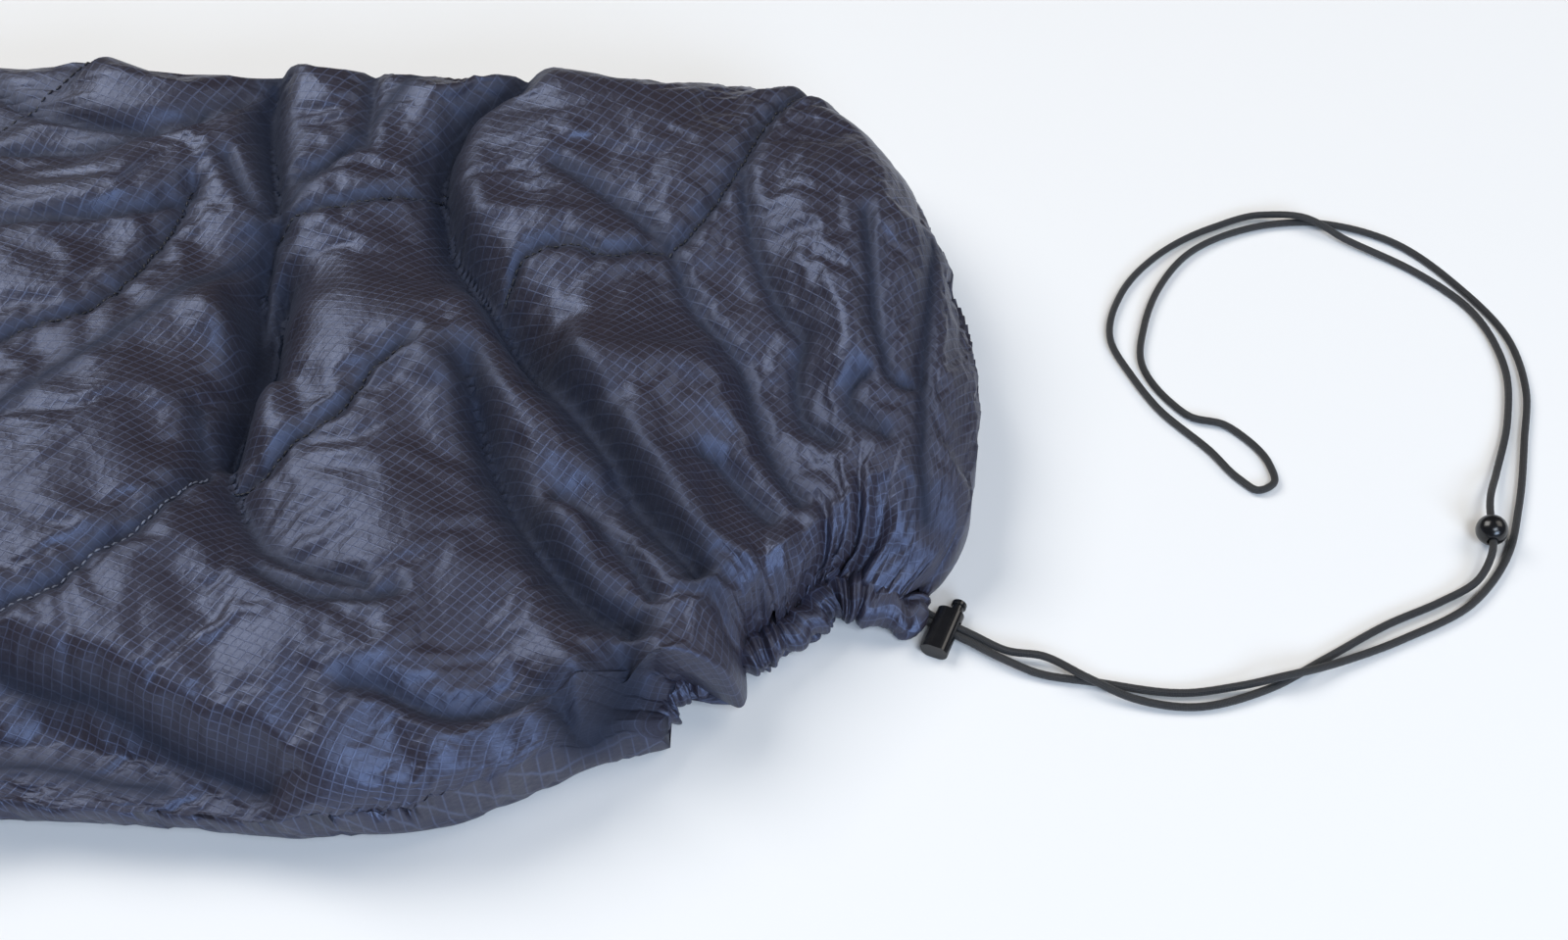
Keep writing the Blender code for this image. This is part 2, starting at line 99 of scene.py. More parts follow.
class Nodes:
    """A short way to write a node tree."""

    def __init__(self, name):
        self.material = bpy.data.materials.new(name)
        self.material.use_nodes = True
        self.tree = self.material.node_tree
        self.shader = self.tree.nodes["Principled BSDF"]

    def node(self, kind, **settings):
        made = self.tree.nodes.new(kind)
        for key, value in settings.items():
            setattr(made, key, value)
        return made

    def wire(self, source, target):
        self.tree.links.new(source, target)

    def feed(self, socket, value):
        if isinstance(value, bpy.types.NodeSocket):
            self.wire(value, socket)
        elif value is not None:
            socket.default_value = value

    def math(self, operation, a, b=None, c=None, clamp=False):
        made = self.node("ShaderNodeMath", operation=operation, use_clamp=clamp)
        for socket, value in zip(made.inputs, (a, b, c)):
            self.feed(socket, value)
        return made.outputs[0]

    def mix(self, share, a, b):
        made = self.node("ShaderNodeMix", data_type="RGBA")
        self.feed(made.inputs["Factor"], share)
        for socket, value in ((made.inputs[6], a), (made.inputs[7], b)):
            if isinstance(value, tuple):
                value = (*value, 1.0)
            self.feed(socket, value)
        return made.outputs[2]

    def noise(self, vector, scale, detail=2.0, roughness=0.5):
        made = self.node("ShaderNodeTexNoise")
        self.feed(made.inputs["Vector"], vector)
        made.inputs["Scale"].default_value = scale
        made.inputs["Detail"].default_value = detail
        made.inputs["Roughness"].default_value = roughness
        return made.outputs["Fac"]

    def place(self):
        return self.node("ShaderNodeNewGeometry").outputs["Position"]

    def uv(self):
        split = self.node("ShaderNodeSeparateXYZ")
        self.wire(self.node("ShaderNodeUVMap", uv_map="UVMap").outputs[0], split.inputs[0])
        return split.outputs[0], split.outputs[1]

    def line(self, coordinate, pitch, width):
        """1 on thin lines a pitch apart, 0 between them. UVs are in metres."""
        cell = self.math("FRACT", self.math("DIVIDE", coordinate, pitch))
        away = self.math("ABSOLUTE", self.math("SUBTRACT", cell, 0.5))
        edge = width / pitch / 2
        inside = self.math("MULTIPLY", self.math("SUBTRACT", edge * 2, away), 0.5 / edge)
        return self.math("SMOOTH_MIN", inside, 1.0, 0.1, clamp=True)

    def bump(self, height, distance, strength=1.0, normal=None):
        made = self.node("ShaderNodeBump")
        made.inputs["Strength"].default_value = strength
        made.inputs["Distance"].default_value = distance
        self.wire(height, made.inputs["Height"])
        if normal is not None:
            self.wire(normal, made.inputs["Normal"])
        return made.outputs["Normal"]

    def set(self, **values):
        for key, value in values.items():
            socket = self.shader.inputs[key.replace("_", " ")]
            if isinstance(value, tuple) and len(value) == 3:
                value = (*value, 1.0)
            self.feed(socket, value)


GRID_PITCH, GRID_WIDTH, YARN_PITCH, BRAID_PITCH = 0.0036, 0.00034, 0.00036, 0.0011


def ripstop(name, warm, cool, line_colour, shadow):
    """Calendered nylon: a dull warm ground, a cooler sheen, and thicker ripstop threads on a square grid.

    The mesh attribute named crease paints shade into the creases: it darkens the cloth's colour there, and
    dulls the cloth."""
    m = Nodes(name)
    across, along = m.uv()
    drift = m.noise(m.place(), 9.0, 3.0)
    fine = m.noise(m.place(), 260.0, 2.0)
    ground = m.mix(drift, warm, cool)
    weave_a = m.math("SINE", m.math("MULTIPLY", across, 2 * math.pi / YARN_PITCH))
    weave_b = m.math("SINE", m.math("MULTIPLY", along, 2 * math.pi / YARN_PITCH))
    weave = m.math("MULTIPLY", weave_a, weave_b)
    threads = m.math(
        "MAXIMUM", m.line(across, GRID_PITCH, GRID_WIDTH), m.line(along, GRID_PITCH, GRID_WIDTH)
    )
    wear = m.math("MULTIPLY_ADD", m.noise(m.place(), 45.0, 2.0), 1.1, 0.15, clamp=True)
    patchy = m.math("MULTIPLY", threads, wear)
    colour = m.mix(patchy, ground, line_colour)
    height = m.math("MULTIPLY_ADD", threads, 0.9, m.math("MULTIPLY", weave, 0.12))
    height = m.math("MULTIPLY_ADD", fine, 0.5, height)
    bent = m.math("ABSOLUTE", m.math("SUBTRACT", m.noise(m.place(), 38.0, 4.0, 0.55), 0.5))
    crinkle = m.bump(m.math("SUBTRACT", 1.0, m.math("MULTIPLY", bent, 4.0, clamp=True)), 0.0011, 0.55)
    crease = m.node("ShaderNodeAttribute", attribute_name="crease").outputs["Fac"]
    # Painted shade: in the creases the colour is mixed toward the shadow colour.
    colour = m.mix(m.math("MULTIPLY", crease, 0.92, clamp=True), colour, shadow)
    rough = m.math("MULTIPLY_ADD", m.noise(m.place(), 30.0, 3.0), 0.16, 0.33)
    rough = m.math("MULTIPLY_ADD", crease, 0.45, rough, clamp=True)
    m.set(Base_Color=colour, Roughness=rough, Metallic=0.0, Normal=m.bump(height, 0.00012, 0.6, crinkle))
    m.shader.inputs["Specular IOR Level"].default_value = 1.0
    m.shader.inputs["Specular Tint"].default_value = (0.50, 0.63, 1.0, 1.0)
    m.shader.inputs["Sheen Weight"].default_value = 0.02
    m.shader.inputs["Sheen Roughness"].default_value = 0.35
    m.shader.inputs["Sheen Tint"].default_value = (0.6, 0.72, 1.0, 1.0)
    return m.material


def plastic(name):
    m = Nodes(name)
    grain = m.noise(m.place(), 1400.0, 2.0)
    rough = m.math("MULTIPLY_ADD", m.noise(m.place(), 240.0, 3.0), 0.12, 0.16)
    tone = m.mix(m.noise(m.place(), 300.0), (0.006, 0.006, 0.007), (0.011, 0.011, 0.013))
    m.set(Base_Color=tone, Roughness=rough, Normal=m.bump(grain, 0.00003, 0.35))
    return m.material


def steel(name):
    m = Nodes(name)
    tone = m.mix(m.noise(m.place(), 900.0), (0.45, 0.45, 0.46), (0.62, 0.62, 0.63))
    m.set(Base_Color=tone, Roughness=0.3, Metallic=1.0)
    return m.material


def braid(name):
    """UVs run round the cord in turns and along it in metres."""
    m = Nodes(name)
    around, along = m.uv()
    turns = m.math("MULTIPLY", around, 8.0)
    steps = m.math("DIVIDE", along, BRAID_PITCH)
    left = m.math("SINE", m.math("MULTIPLY", m.math("ADD", turns, steps), 2 * math.pi))
    right = m.math("SINE", m.math("MULTIPLY", m.math("SUBTRACT", turns, steps), 2 * math.pi))
    weave = m.math("MULTIPLY", left, right)
    shade = m.math("MULTIPLY_ADD", weave, 0.5, 0.5, clamp=True)
    tone = m.mix(shade, (0.0045, 0.0045, 0.005), (0.026, 0.026, 0.029))
    fuzz = m.noise(m.place(), 2600.0, 2.0)
    height = m.math("MULTIPLY_ADD", fuzz, 0.25, shade)
    m.set(Base_Color=tone, Roughness=0.5, Normal=m.bump(height, 0.00025, 0.8))
    m.shader.inputs["Sheen Weight"].default_value = 0.1
    return m.material


def thread_finish(name, colour):
    m = Nodes(name)
    twist = m.noise(m.place(), 1800.0, 2.0)
    m.set(Base_Color=m.mix(twist, colour, tuple(c * 1.8 for c in colour)), Roughness=0.45)
    return m.material


def plain_floor():
    m = Nodes("studio_floor")
    tone = m.mix(m.noise(m.place(), 3.0), (0.850, 0.840, 0.830), (0.865, 0.855, 0.845))
    m.set(Base_Color=tone, Roughness=0.8)
    return m.material


SHELL = ripstop(
    "ripstop_shell_look", warm=(0.0300, 0.0210, 0.0215), cool=(0.0215, 0.0180, 0.0280),
    line_colour=(0.072, 0.082, 0.135), shadow=(0.003, 0.0025, 0.0035),
)
PLASTIC = plastic("black_plastic_look")
STEEL = steel("spring_steel_look")
BRAID = braid("braided_cord_look")
DARK_THREAD = thread_finish("dark_thread_look", (0.012, 0.012, 0.016))
PALE_THREAD = thread_finish("pale_thread_look", (0.11, 0.12, 0.16))

FLOOR_SIZE, FLOOR_GAP = 16.0, 0.0004
bpy.ops.mesh.primitive_grid_add(
    x_subdivisions=2, y_subdivisions=2, size=FLOOR_SIZE, location=(0.0, 0.0, -FLOOR_GAP)
)
floor = bpy.context.object
floor.name = "floor"
floor.data.materials.append(plain_floor())

# ------------------------------------------------------------------ helpers for meshes


def mesh_piece(name, points, faces, material, uv=None):
    data = bpy.data.meshes.new(name)
    data.from_pydata([tuple(p) for p in points], [], [tuple(f) for f in faces])
    data.update()
    if uv is not None:
        layer = data.uv_layers.new(name="UVMap")
        corner = np.empty(len(data.loops), np.int32)
        data.loops.foreach_get("vertex_index", corner)
        layer.data.foreach_set("uv", np.asarray(uv, np.float32)[corner].ravel())
    data.materials.append(material)
    data.shade_smooth()
    return link(bpy.data.objects.new(name, data))


def hermite(a, b, slope_a, slope_b, t):
    """The smooth curve from a to b with the given slopes at its ends, t running from 0 to 1."""
    return (
        a * (2 * t**3 - 3 * t**2 + 1) + b * (3 * t**2 - 2 * t**3)
        + slope_a * (t**3 - 2 * t**2 + t) + slope_b * (t**3 - t**2)
    )


def curve_through(route, steps=24):
    """Close points on one smooth curve through the route, which never rises above or sinks below it."""
    route = np.asarray(route, float)
    runs = np.diff(route, axis=0)
    spans = np.linalg.norm(runs, axis=1)
    slopes = runs / spans[:, None]
    inner = slopes[:-1] * spans[1:, None] + slopes[1:] * spans[:-1, None]
    inner = inner / (spans[:-1] + spans[1:])[:, None]
    rise = slopes[:-1, 2] * slopes[1:, 2]
    total = slopes[:-1, 2] + slopes[1:, 2]
    inner[:, 2] = np.where(rise > 0, 2 * rise / np.where(rise > 0, total, 1.0), 0.0)
    tangents = np.vstack([slopes[:1], inner, slopes[-1:]])
    t = (np.arange(steps) / steps)[:, None]
    fine = []
    for a, b, ta, tb, span in zip(route, route[1:], tangents, tangents[1:], spans):
        fine.append(hermite(a, b, ta * span, tb * span, t))
    return np.vstack([*fine, route[-1:]])


def evenly(points, spacing):
    """The same line with its points a spacing apart."""
    points = np.asarray(points, float)
    along = np.concatenate([[0.0], np.cumsum(np.linalg.norm(np.diff(points, axis=0), axis=1))])
    count = max(int(round(along[-1] / spacing)), 1) + 1
    at = np.linspace(0.0, along[-1], count)
    return np.stack([np.interp(at, along, points[:, k]) for k in range(3)], axis=1)


def frames_along(points):
    """The side and up directions at each point, the side kept level."""
    tangent = np.gradient(points, axis=0)
    tangent /= np.linalg.norm(tangent, axis=1)[:, None]
    side = np.cross((0.0, 0.0, 1.0), tangent)
    side /= np.linalg.norm(side, axis=1)[:, None]
    return side, np.cross(tangent, side)


def tube(name, points, radius, material, sides, ripple=None):
    points = np.asarray(points, float)
    side, up = frames_along(points)
    along = np.concatenate([[0.0], np.cumsum(np.linalg.norm(np.diff(points, axis=0), axis=1))])
    angle = np.arange(sides) / sides * 2 * math.pi
    radii = np.full((len(points), sides), radius)
    if ripple is not None:
        radii = ripple(along[:, None], angle[None, :])
    rings = points[:, None] + radii[..., None] * (
        side[:, None] * np.cos(angle)[None, :, None] + up[:, None] * np.sin(angle)[None, :, None]
    )
    count = len(points)
    verts = rings.reshape(-1, 3)
    index = np.arange(count * sides).reshape(count, sides)
    a, b = index[:-1], index[1:]
    faces = np.stack([a, np.roll(a, -1, 1), np.roll(b, -1, 1), b], axis=-1).reshape(-1, 4).tolist()
    faces += [index[0][::-1].tolist(), index[-1].tolist()]
    uv = np.stack([np.tile(angle / (2 * math.pi), count), np.repeat(along, sides)], axis=1)
    return mesh_piece(name, verts, faces, material, uv)


# ------------------------------------------------------------------ the drawcord

CORD_R = 0.0015
LOCK_PLACE = np.array((0.0598, -0.0815, 0.0036))
LOCK_HEADING = math.radians(-22.0)
CORD_HEADING = math.radians(-31.0)
BEAD_PLACE = np.array((0.2695, -0.0350, 0.0062))
BEAD_HEADING = math.radians(80.0)
TIP_HEADING = math.radians(-10.0)
UPPER_TIP = np.array((0.0470, -0.0688, 0.0065))
LOWER_TIP = np.array((0.0440, -0.0762, 0.0052))
KNOB = np.array((-math.sin(LOCK_HEADING), math.cos(LOCK_HEADING), 0.0))
ACROSS = np.array((math.cos(LOCK_HEADING), math.sin(LOCK_HEADING), 0.0))
REST, OVER = 0.0016, 0.0053


def heading(angle):
    return np.array((math.cos(angle), math.sin(angle), 0.0))


def strand_point(along, side, height):
    sideways = np.array((-math.sin(CORD_HEADING), math.cos(CORD_HEADING), 0.0))
    point = LOCK_PLACE + KNOB * 0.0028 + heading(CORD_HEADING) * along + sideways * side * 0.0017
    return (point[0], point[1], height)


def lock_run(tip, side):
    run = [tip + heading(TIP_HEADING) * s for s in (0.0003, 0.0023)]
    run += [strand_point(along, side, 0.0036) for along in (-0.0095, -0.0030, 0.0090)]
    return run + [strand_point(0.0225, side * 1.15, 0.0034)]


OUT_BOTTOM = (
    (0.0950, -0.0915, 0.0034), (0.1090, -0.1018, OVER), (0.1260, -0.1095, 0.0028), (0.1480, -0.1122, REST),
    (0.1740, -0.1048, REST), (0.1980, -0.0910, REST), (0.2230, -0.0760, REST), (0.2450, -0.0655, REST),
    (0.2610, -0.0560, 0.0036),
)
OUT_RIGHT = (
    (0.2790, -0.0040, 0.0030), (0.2900, 0.0240, REST), (0.2955, 0.0540, REST), (0.2890, 0.0855, REST),
    (0.2700, 0.1090, REST), (0.2440, 0.1275, 0.0026), (0.2270, 0.1390, OVER), (0.2090, 0.1438, 0.0024),
    (0.1860, 0.1362, REST), (0.1600, 0.1185, REST), (0.1430, 0.0965, REST), (0.1355, 0.0690, REST),
    (0.1420, 0.0490, REST), (0.1505, 0.0315, REST), (0.1690, 0.0082, REST),
)
BIGHT = ((0.1785, -0.0062, REST), (0.1848, -0.0116, REST), (0.1915, -0.0080, REST), (0.1912, 0.0015, REST))
BACK_LEFT = (
    (0.1828, 0.0162, REST), (0.1765, 0.0222, REST), (0.1630, 0.0268, REST), (0.1565, 0.0340, REST),
    (0.1470, 0.0550, REST), (0.1505, 0.0775, REST), (0.1600, 0.1010, REST), (0.1745, 0.1205, REST),
    (0.1980, 0.1345, REST), (0.2300, 0.1398, REST),
)
BACK_RIGHT = (
    (0.2620, 0.1286, REST), (0.2870, 0.0990, REST), (0.3005, 0.0700, REST), (0.3015, 0.0420, REST),
    (0.2945, 0.0140, REST), (0.2845, -0.0200, REST), (0.2750, -0.0435, REST), (0.2575, -0.0655, REST),
    (0.2270, -0.0828, REST), (0.2030, -0.0932, 0.0026), (0.1818, -0.1010, OVER), (0.1640, -0.1040, 0.0028),
    (0.1440, -0.1062, REST), (0.1110, -0.1012, REST), (0.0925, -0.0980, 0.0020),
)
bead_run = [BEAD_PLACE + heading(BEAD_HEADING) * s for s in (-0.0095, 0.0020, 0.0145)]
route = [*lock_run(UPPER_TIP, 1), *OUT_BOTTOM, *bead_run, *OUT_RIGHT, *BIGHT, *BACK_LEFT, *BACK_RIGHT]
route += lock_run(LOWER_TIP, -1)[::-1]
cord_line = evenly(curve_through(route), 0.0011) + FOOT


def braid_ripple(along, angle):
    """Eight strands wound each way, with the lumps where they pass over each other."""
    weave = np.sin(8 * angle + along / BRAID_PITCH * 2.0) * np.sin(8 * angle - along / BRAID_PITCH * 2.0)
    return CORD_R * (1.0 + 0.03 * weave)


# The bead: a ball bored through for the cord.
BEAD_R, BEAD_BORE_R, BEAD_SIDES = 0.006, 0.00195, 64
lip = math.asin(BEAD_BORE_R / BEAD_R)
arc = np.linspace(lip, math.pi - lip, 33)
bore = BEAD_R * math.cos(lip) * np.linspace(-0.94, 0.94, 9)
bead_along = np.concatenate([BEAD_R * np.cos(arc), bore])
bead_away = np.concatenate([BEAD_R * np.sin(arc), np.full(len(bore), BEAD_BORE_R)])
bead_side = np.array((-math.sin(BEAD_HEADING), math.cos(BEAD_HEADING), 0.0))
around = np.arange(BEAD_SIDES)[None, :, None] / BEAD_SIDES * 2 * math.pi
ball = FOOT + BEAD_PLACE + bead_along[:, None, None] * heading(BEAD_HEADING) + bead_away[:, None, None] * (
    bead_side * np.cos(around) + np.array((0.0, 0.0, 1.0)) * np.sin(around)
)
index = np.arange(len(bead_along) * BEAD_SIDES).reshape(-1, BEAD_SIDES)
following = np.roll(index, -1, 0)
faces = np.stack([index, following, np.roll(following, -1, 1), np.roll(index, -1, 1)], axis=-1)
bead = mesh_piece("cord_bead", ball.reshape(-1, 3), faces.reshape(-1, 4).tolist(), PLASTIC)
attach(bead, "bead")
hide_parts("ball_bead")

drawcord = tube("drawcord_braid", cord_line, CORD_R, BRAID, sides=16, ripple=braid_ripple)
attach(drawcord, "quilt")
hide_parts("drawcord")
for node in ("cord_lock_barrel", "cord_lock_plunger"):
    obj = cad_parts[node]
    obj.data.materials.clear()
    obj.data.materials.append(PLASTIC)

# The spring under the plunger, built as a coil at rest; the real one is pressed flat as the plunger goes
# in.
SPRING_R, SPRING_WIRE_R, SPRING_TURNS, SPRING_FOOT, SPRING_RISE = 0.0017, 0.00022, 4, -0.0079, 0.0034
turn = np.linspace(0.0, 2 * math.pi * SPRING_TURNS, 24 * SPRING_TURNS + 1)[:, None]
spring_base = FOOT + LOCK_PLACE + KNOB * SPRING_FOOT
coil = spring_base + SPRING_R * (ACROSS * np.cos(turn) + np.array((0.0, 0.0, 1.0)) * np.sin(turn))
coil = coil + KNOB * SPRING_RISE * turn / turn[-1]
spring = tube("lock_spring_coil", coil, SPRING_WIRE_R, STEEL, sides=8)
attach(spring, "lock")
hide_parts("cord_lock_spring")
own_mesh(spring)

# ------------------------------------------------------------------ the quilt's surface


def metres(lines):
    """Named lines, each a half width and its points, from millimetres to metres."""
    return {
        name: (round(width / 1000, 4), [(x / 1000, y / 1000, z / 1000) for x, y, z in points])
        for name, (width, points) in lines.items()
    }


# Each line is a half width and its points, (x, y, height) from FOOT, in millimetres. The cloth sinks into
# a crease and is held up along a ridge.
SEAM_CREASES = metres({
    "seam_b_right": (1.5, ((-202, 83, 49), (-193, 89, 53), (-177, 93, 55), (-159, 99, 54),
        (-144, 105, 51), (-139, 116, 44))),
    "seam_b_left": (1.4, ((-313, -5, 56), (-296, 15, 56), (-284, 24, 56), (-269, 31, 55), (-256, 50, 52),
        (-249, 70, 49), (-244, 87, 47), (-240, 106, 46))),
    "seam_a_left": (1.4, ((-285, -118, 50), (-267, -108, 53), (-250, -99, 55), (-238, -84, 56),
        (-229, -77, 56), (-219, -60, 54), (-213, -47, 52), (-210, -40, 45))),
    "seam_a_middle": (1.2, ((-200, -44, 34), (-192, -43, 44), (-179, -30, 50), (-163, -17, 54),
        (-152, 2, 57), (-141, 11, 61))),
    "seam_a_right": (1, ((-109, 48, 50), (-107, 53, 55), (-102, 61, 57), (-87, 67, 58), (-69, 62, 57),
        (-54, 67, 54), (-45, 68, 52))),
    "seam_a_far": (1.4, ((-45, 68, 52), (-39, 75, 53), (-20, 109, 55), (-4, 148, 53), (13, 171, 46))),
})
FOLD_CREASES = metres({
    "first_valley": (6, ((-204, 85, 46), (-206, 77, 38), (-208, 65, 30), (-207, 47, 26), (-204, 27, 24),
        (-203, 8, 23), (-204, -11, 23), (-205, -28, 25))),
    "first_valley_floor": (5, ((-198, 57, 31), (-199, 43, 27), (-199, 26, 25), (-197, 7, 24))),
    "first_valley_end": (1.6, ((-205, -28, 25), (-200, -46, 31), (-191, -63, 38), (-182, -78, 43),
        (-168, -87, 46), (-154, -93, 49), (-144, -97, 52))),
    "lens_crease": (1.2, ((-182, -90, 55), (-172, -97, 54), (-161, -101, 53), (-151, -102, 53),
        (-139, -102, 54), (-133, -100, 55))),
    "top_left_fork": (1.2, ((-204, 85, 46), (-213, 94, 51), (-222, 108, 54), (-229, 120, 57))),
    "top_middle_fork": (4, ((-205, 94, 46), (-209, 112, 43), (-214, 132, 41), (-218, 158, 40),
        (-217, 171, 45), (-215, 186, 50))),
    "top_right_fork": (1.2, ((-204, 103, 48), (-198, 109, 51), (-187, 117, 53), (-173, 131, 54))),
    "top_dip": (2.5, ((-173, 128, 55), (-174, 150, 52), (-175, 173, 49), (-174, 185, 47))),
    "second_valley": (4.2, ((-109, 185, 47), (-113, 164, 47), (-124, 155, 46), (-133, 147, 44),
        (-138, 136, 40), (-141, 124, 36), (-140, 109, 32), (-136, 91, 29), (-131, 76, 27),
        (-122, 59, 25), (-112, 41, 24), (-100, 22, 24), (-88, 5, 24), (-75, -13, 25), (-62, -35, 27),
        (-50, -56, 30), (-39, -73, 34), (-30, -85, 38))),
    "rim_pocket": (2.2, ((-82, -50, 36), (-74, -54, 32), (-63, -67, 31), (-53, -81, 32), (-46, -94, 34))),
    "fold_left_valley": (3, ((-120, 4, 56), (-118, 1, 46), (-115, -8, 39), (-111, -22, 35),
        (-104, -40, 33), (-94, -60, 32), (-80, -82, 31), (-66, -98, 30), (-52, -107, 30))),
    "third_valley": (1.6, ((-45, 68, 52), (-42, 60, 47), (-38, 48, 43), (-31, 36, 41), (-22, 25, 39),
        (-16, 13, 36), (-12, -4, 33), (-7, -21, 31), (-1, -35, 31), (6, -49, 35))),
    "facet_hollow": (1.8, ((-30, -32, 44), (-24, -34, 37), (-18, -41, 33), (-11, -50, 32), (-5, -57, 32))),
    "panel_edge": (2.4, ((-17, 109, 57), (-16, 94, 53), (-13, 76, 48), (-7, 56, 44), (0, 39, 41),
        (8, 25, 40), (5, 15, 37), (5, 4, 35), (8, -10, 35), (18, -21, 39))),
    "right_fold": (1.6, ((32, 82, 62), (33, 66, 59), (34, 47, 56), (35, 29, 53), (38, 15, 49),
        (40, 6, 46), (46, 3, 45), (52, 5, 43))),
    "right_edge_valley": (2.2, ((60, 81, 44), (58, 59, 44), (56, 40, 42), (53, 15, 40), (52, -13, 38),
        (51, -35, 36), (52, -51, 32))),
    "right_crease": (1.2, ((31, 5, 50), (25, -1, 46), (26, -11, 44), (38, -21, 47))),
    "facet_crease": (1.2, ((-217, -14, 60), (-216, -21, 52), (-213, -31, 44), (-211, -36, 33))),
    "dark_point": (1.6, ((-92, 110, 62), (-79, 101, 57), (-63, 88, 53), (-46, 71, 50))),
    "front_crease": (2, ((-146, -136, 50), (-136, -136, 46), (-125, -140, 42), (-113, -143, 38),
        (-101, -141, 33), (-90, -138, 30), (-80, -134, 29))),
    "crumple_hole": (3, ((-54, -121, 28), (-58, -128, 22), (-64, -138, 17), (-70, -141, 17),
        (-74, -138, 22))),
    "crumple_fold": (1.4, ((-78, -134, 40), (-76, -138, 32), (-73, -142, 24))),
    "left_tier_one": (2.4, ((-292, -112, 34), (-278, -118, 31), (-263, -126, 28), (-249, -131, 26),
        (-236, -133, 24), (-221, -140, 21), (-204, -149, 18), (-187, -156, 14), (-172, -161, 9))),
    "left_tier_two": (2, ((-287, -151, 18), (-268, -151, 15), (-255, -151, 13), (-241, -153, 11),
        (-225, -157, 8), (-208, -159, 5))),
    "left_line_one": (1.6, ((-371, 197, 40), (-337, 168, 46), (-315, 152, 49), (-292, 143, 51),
        (-267, 136, 54))),
    "left_line_two": (2.6, ((-350, 125, 48), (-326, 126, 48), (-301, 127, 49), (-285, 128, 50),
        (-266, 134, 51), (-245, 146, 50), (-228, 162, 46), (-223, 178, 42))),
    "left_line_three": (1.4, ((-334, 74, 56), (-312, 78, 56), (-289, 81, 56), (-270, 84, 56),
        (-254, 90, 55), (-239, 100, 52))),
})
CREASES = [*SEAM_CREASES.values(), *FOLD_CREASES.values()]
RIDGES = metres({
    "lip_left": (1.5, ((-216, 40, 66), (-205, 19, 68), (-197, 0, 67), (-194, -16, 64))),
    "facet_ridge": (1.2, ((-194, -17, 64), (-198, -22, 55), (-203, -33, 45), (-207, -38, 36))),
    "lip_right": (1.5, ((-174, 22, 60), (-184, 17, 57), (-185, 0, 52), (-185, -16, 50))),
    "mid_ridge": (2, ((-186, 34, 58), (-169, 37, 61), (-153, 19, 63), (-141, 8, 65), (-119, -2, 66),
        (-101, -13, 63), (-86, -23, 58))),
    "second_lip": (2, ((-106, 143, 62), (-125, 129, 60), (-131, 107, 60), (-131, 90, 60), (-125, 69, 59),
        (-114, 35, 57), (-102, 8, 54), (-84, -15, 51), (-64, -38, 48))),
    "roll_crest": (3, ((-88, 11, 66), (-66, -25, 63), (-48, -54, 59), (-33, -79, 54), (-23, -99, 46),
        (-19, -110, 38))),
    "facet_rim": (1.2, ((-53, -8, 61), (-45, 2, 62), (-36, 9, 63), (-27, 4, 62), (-21, -7, 58),
        (-14, -26, 53), (-4, -50, 48))),
    "facet_inner": (1.2, ((-27, 3, 62), (-33, -10, 57), (-39, -26, 53))),
    "rim": (1.2, ((-87, -65, 56), (-88, -62, 59), (-83, -60, 60), (-70, -62, 60), (-55, -76, 56),
        (-41, -95, 49))),
    "rim_low": (1.2, ((-87, -65, 56), (-75, -80, 52), (-61, -97, 50), (-48, -113, 48), (-43, -123, 46))),
    "crumple_rim": (1.2, ((-94, -147, 50), (-87, -143, 56), (-77, -136, 60), (-70, -130, 61),
        (-65, -133, 60), (-57, -135, 57), (-49, -131, 52), (-43, -123, 46))),
    "crumple_ridge": (1.2, ((-79, -143, 46), (-74, -139, 48), (-71, -142, 46), (-73, -147, 38))),
    "front_roll": (3, ((-283, -107, 66), (-262, -119, 60), (-228, -135, 54), (-194, -148, 48),
        (-161, -157, 44), (-129, -161, 41), (-97, -161, 38), (-66, -156, 30), (-46, -144, 26))),
    "left_band": (3, ((-335, 89, 66), (-311, 89, 66), (-289, 94, 66), (-268, 101, 65), (-243, 115, 62))),
    "left_edge_line": (1.6, ((-340, 105, 62), (-316, 105, 62), (-293, 108, 62), (-264, 120, 62),
        (-243, 134, 61), (-221, 151, 58))),
    "far_panel": (3, ((-81, 130, 64), (-41, 138, 62), (-17, 157, 57))),
    "right_panel": (3, ((4, 120, 62), (13, 75, 66), (19, 35, 63), (24, 12, 60))),
    "right_roll": (3, ((64, 59, 44), (65, 18, 43), (64, -19, 40), (62, -49, 36), (59, -63, 30))),
    "small_rim": (1.2, ((-146, -136, 56), (-146, -126, 58), (-141, -116, 60), (-133, -118, 59),
        (-130, -128, 57))),
    "mouth_lobe": (2, ((-34, -92, 46), (-27, -106, 42), (-19, -114, 34), (-10, -113, 28))),
})
NEAR_EDGE = (
    (-0.042, -0.139), (-0.060, -0.1435), (-0.085, -0.154), (-0.120, -0.167), (-0.160, -0.172),
    (-0.205, -0.169), (-0.270, -0.166), (-0.335, -0.168),
)
FAR_EDGE = (
    (0.060, -0.072), (0.070, -0.055), (0.0765, -0.015), (0.0765, 0.035), (0.066, 0.088), (0.045, 0.138),
    (0.008, 0.180), (-0.050, 0.182),
)
STATION = (0.0, 0.016, 0.046, 0.084, 0.126, 0.172, 0.235, 0.300)
SEAMS, SEAM_PITCH, HEAD_X, HEAD_HALF = 13, 0.1275, -1.922, 0.305
SEAM_NEAR, SEAM_FAR, SKEW_FADE = (-0.270, -0.168), (0.016, 0.183), 1.2
LIP = (
    (-0.037, -0.141), (-0.034, -0.132), (-0.029, -0.119), (-0.016, -0.114), (-0.005, -0.106),
    (0.010, -0.099), (0.018, -0.088), (0.034, -0.080), (0.050, -0.086), (0.060, -0.073),
)
LIP_AT = (0.0, 0.06, 0.14, 0.27, 0.40, 0.54, 0.66, 0.80, 0.92, 1.0)


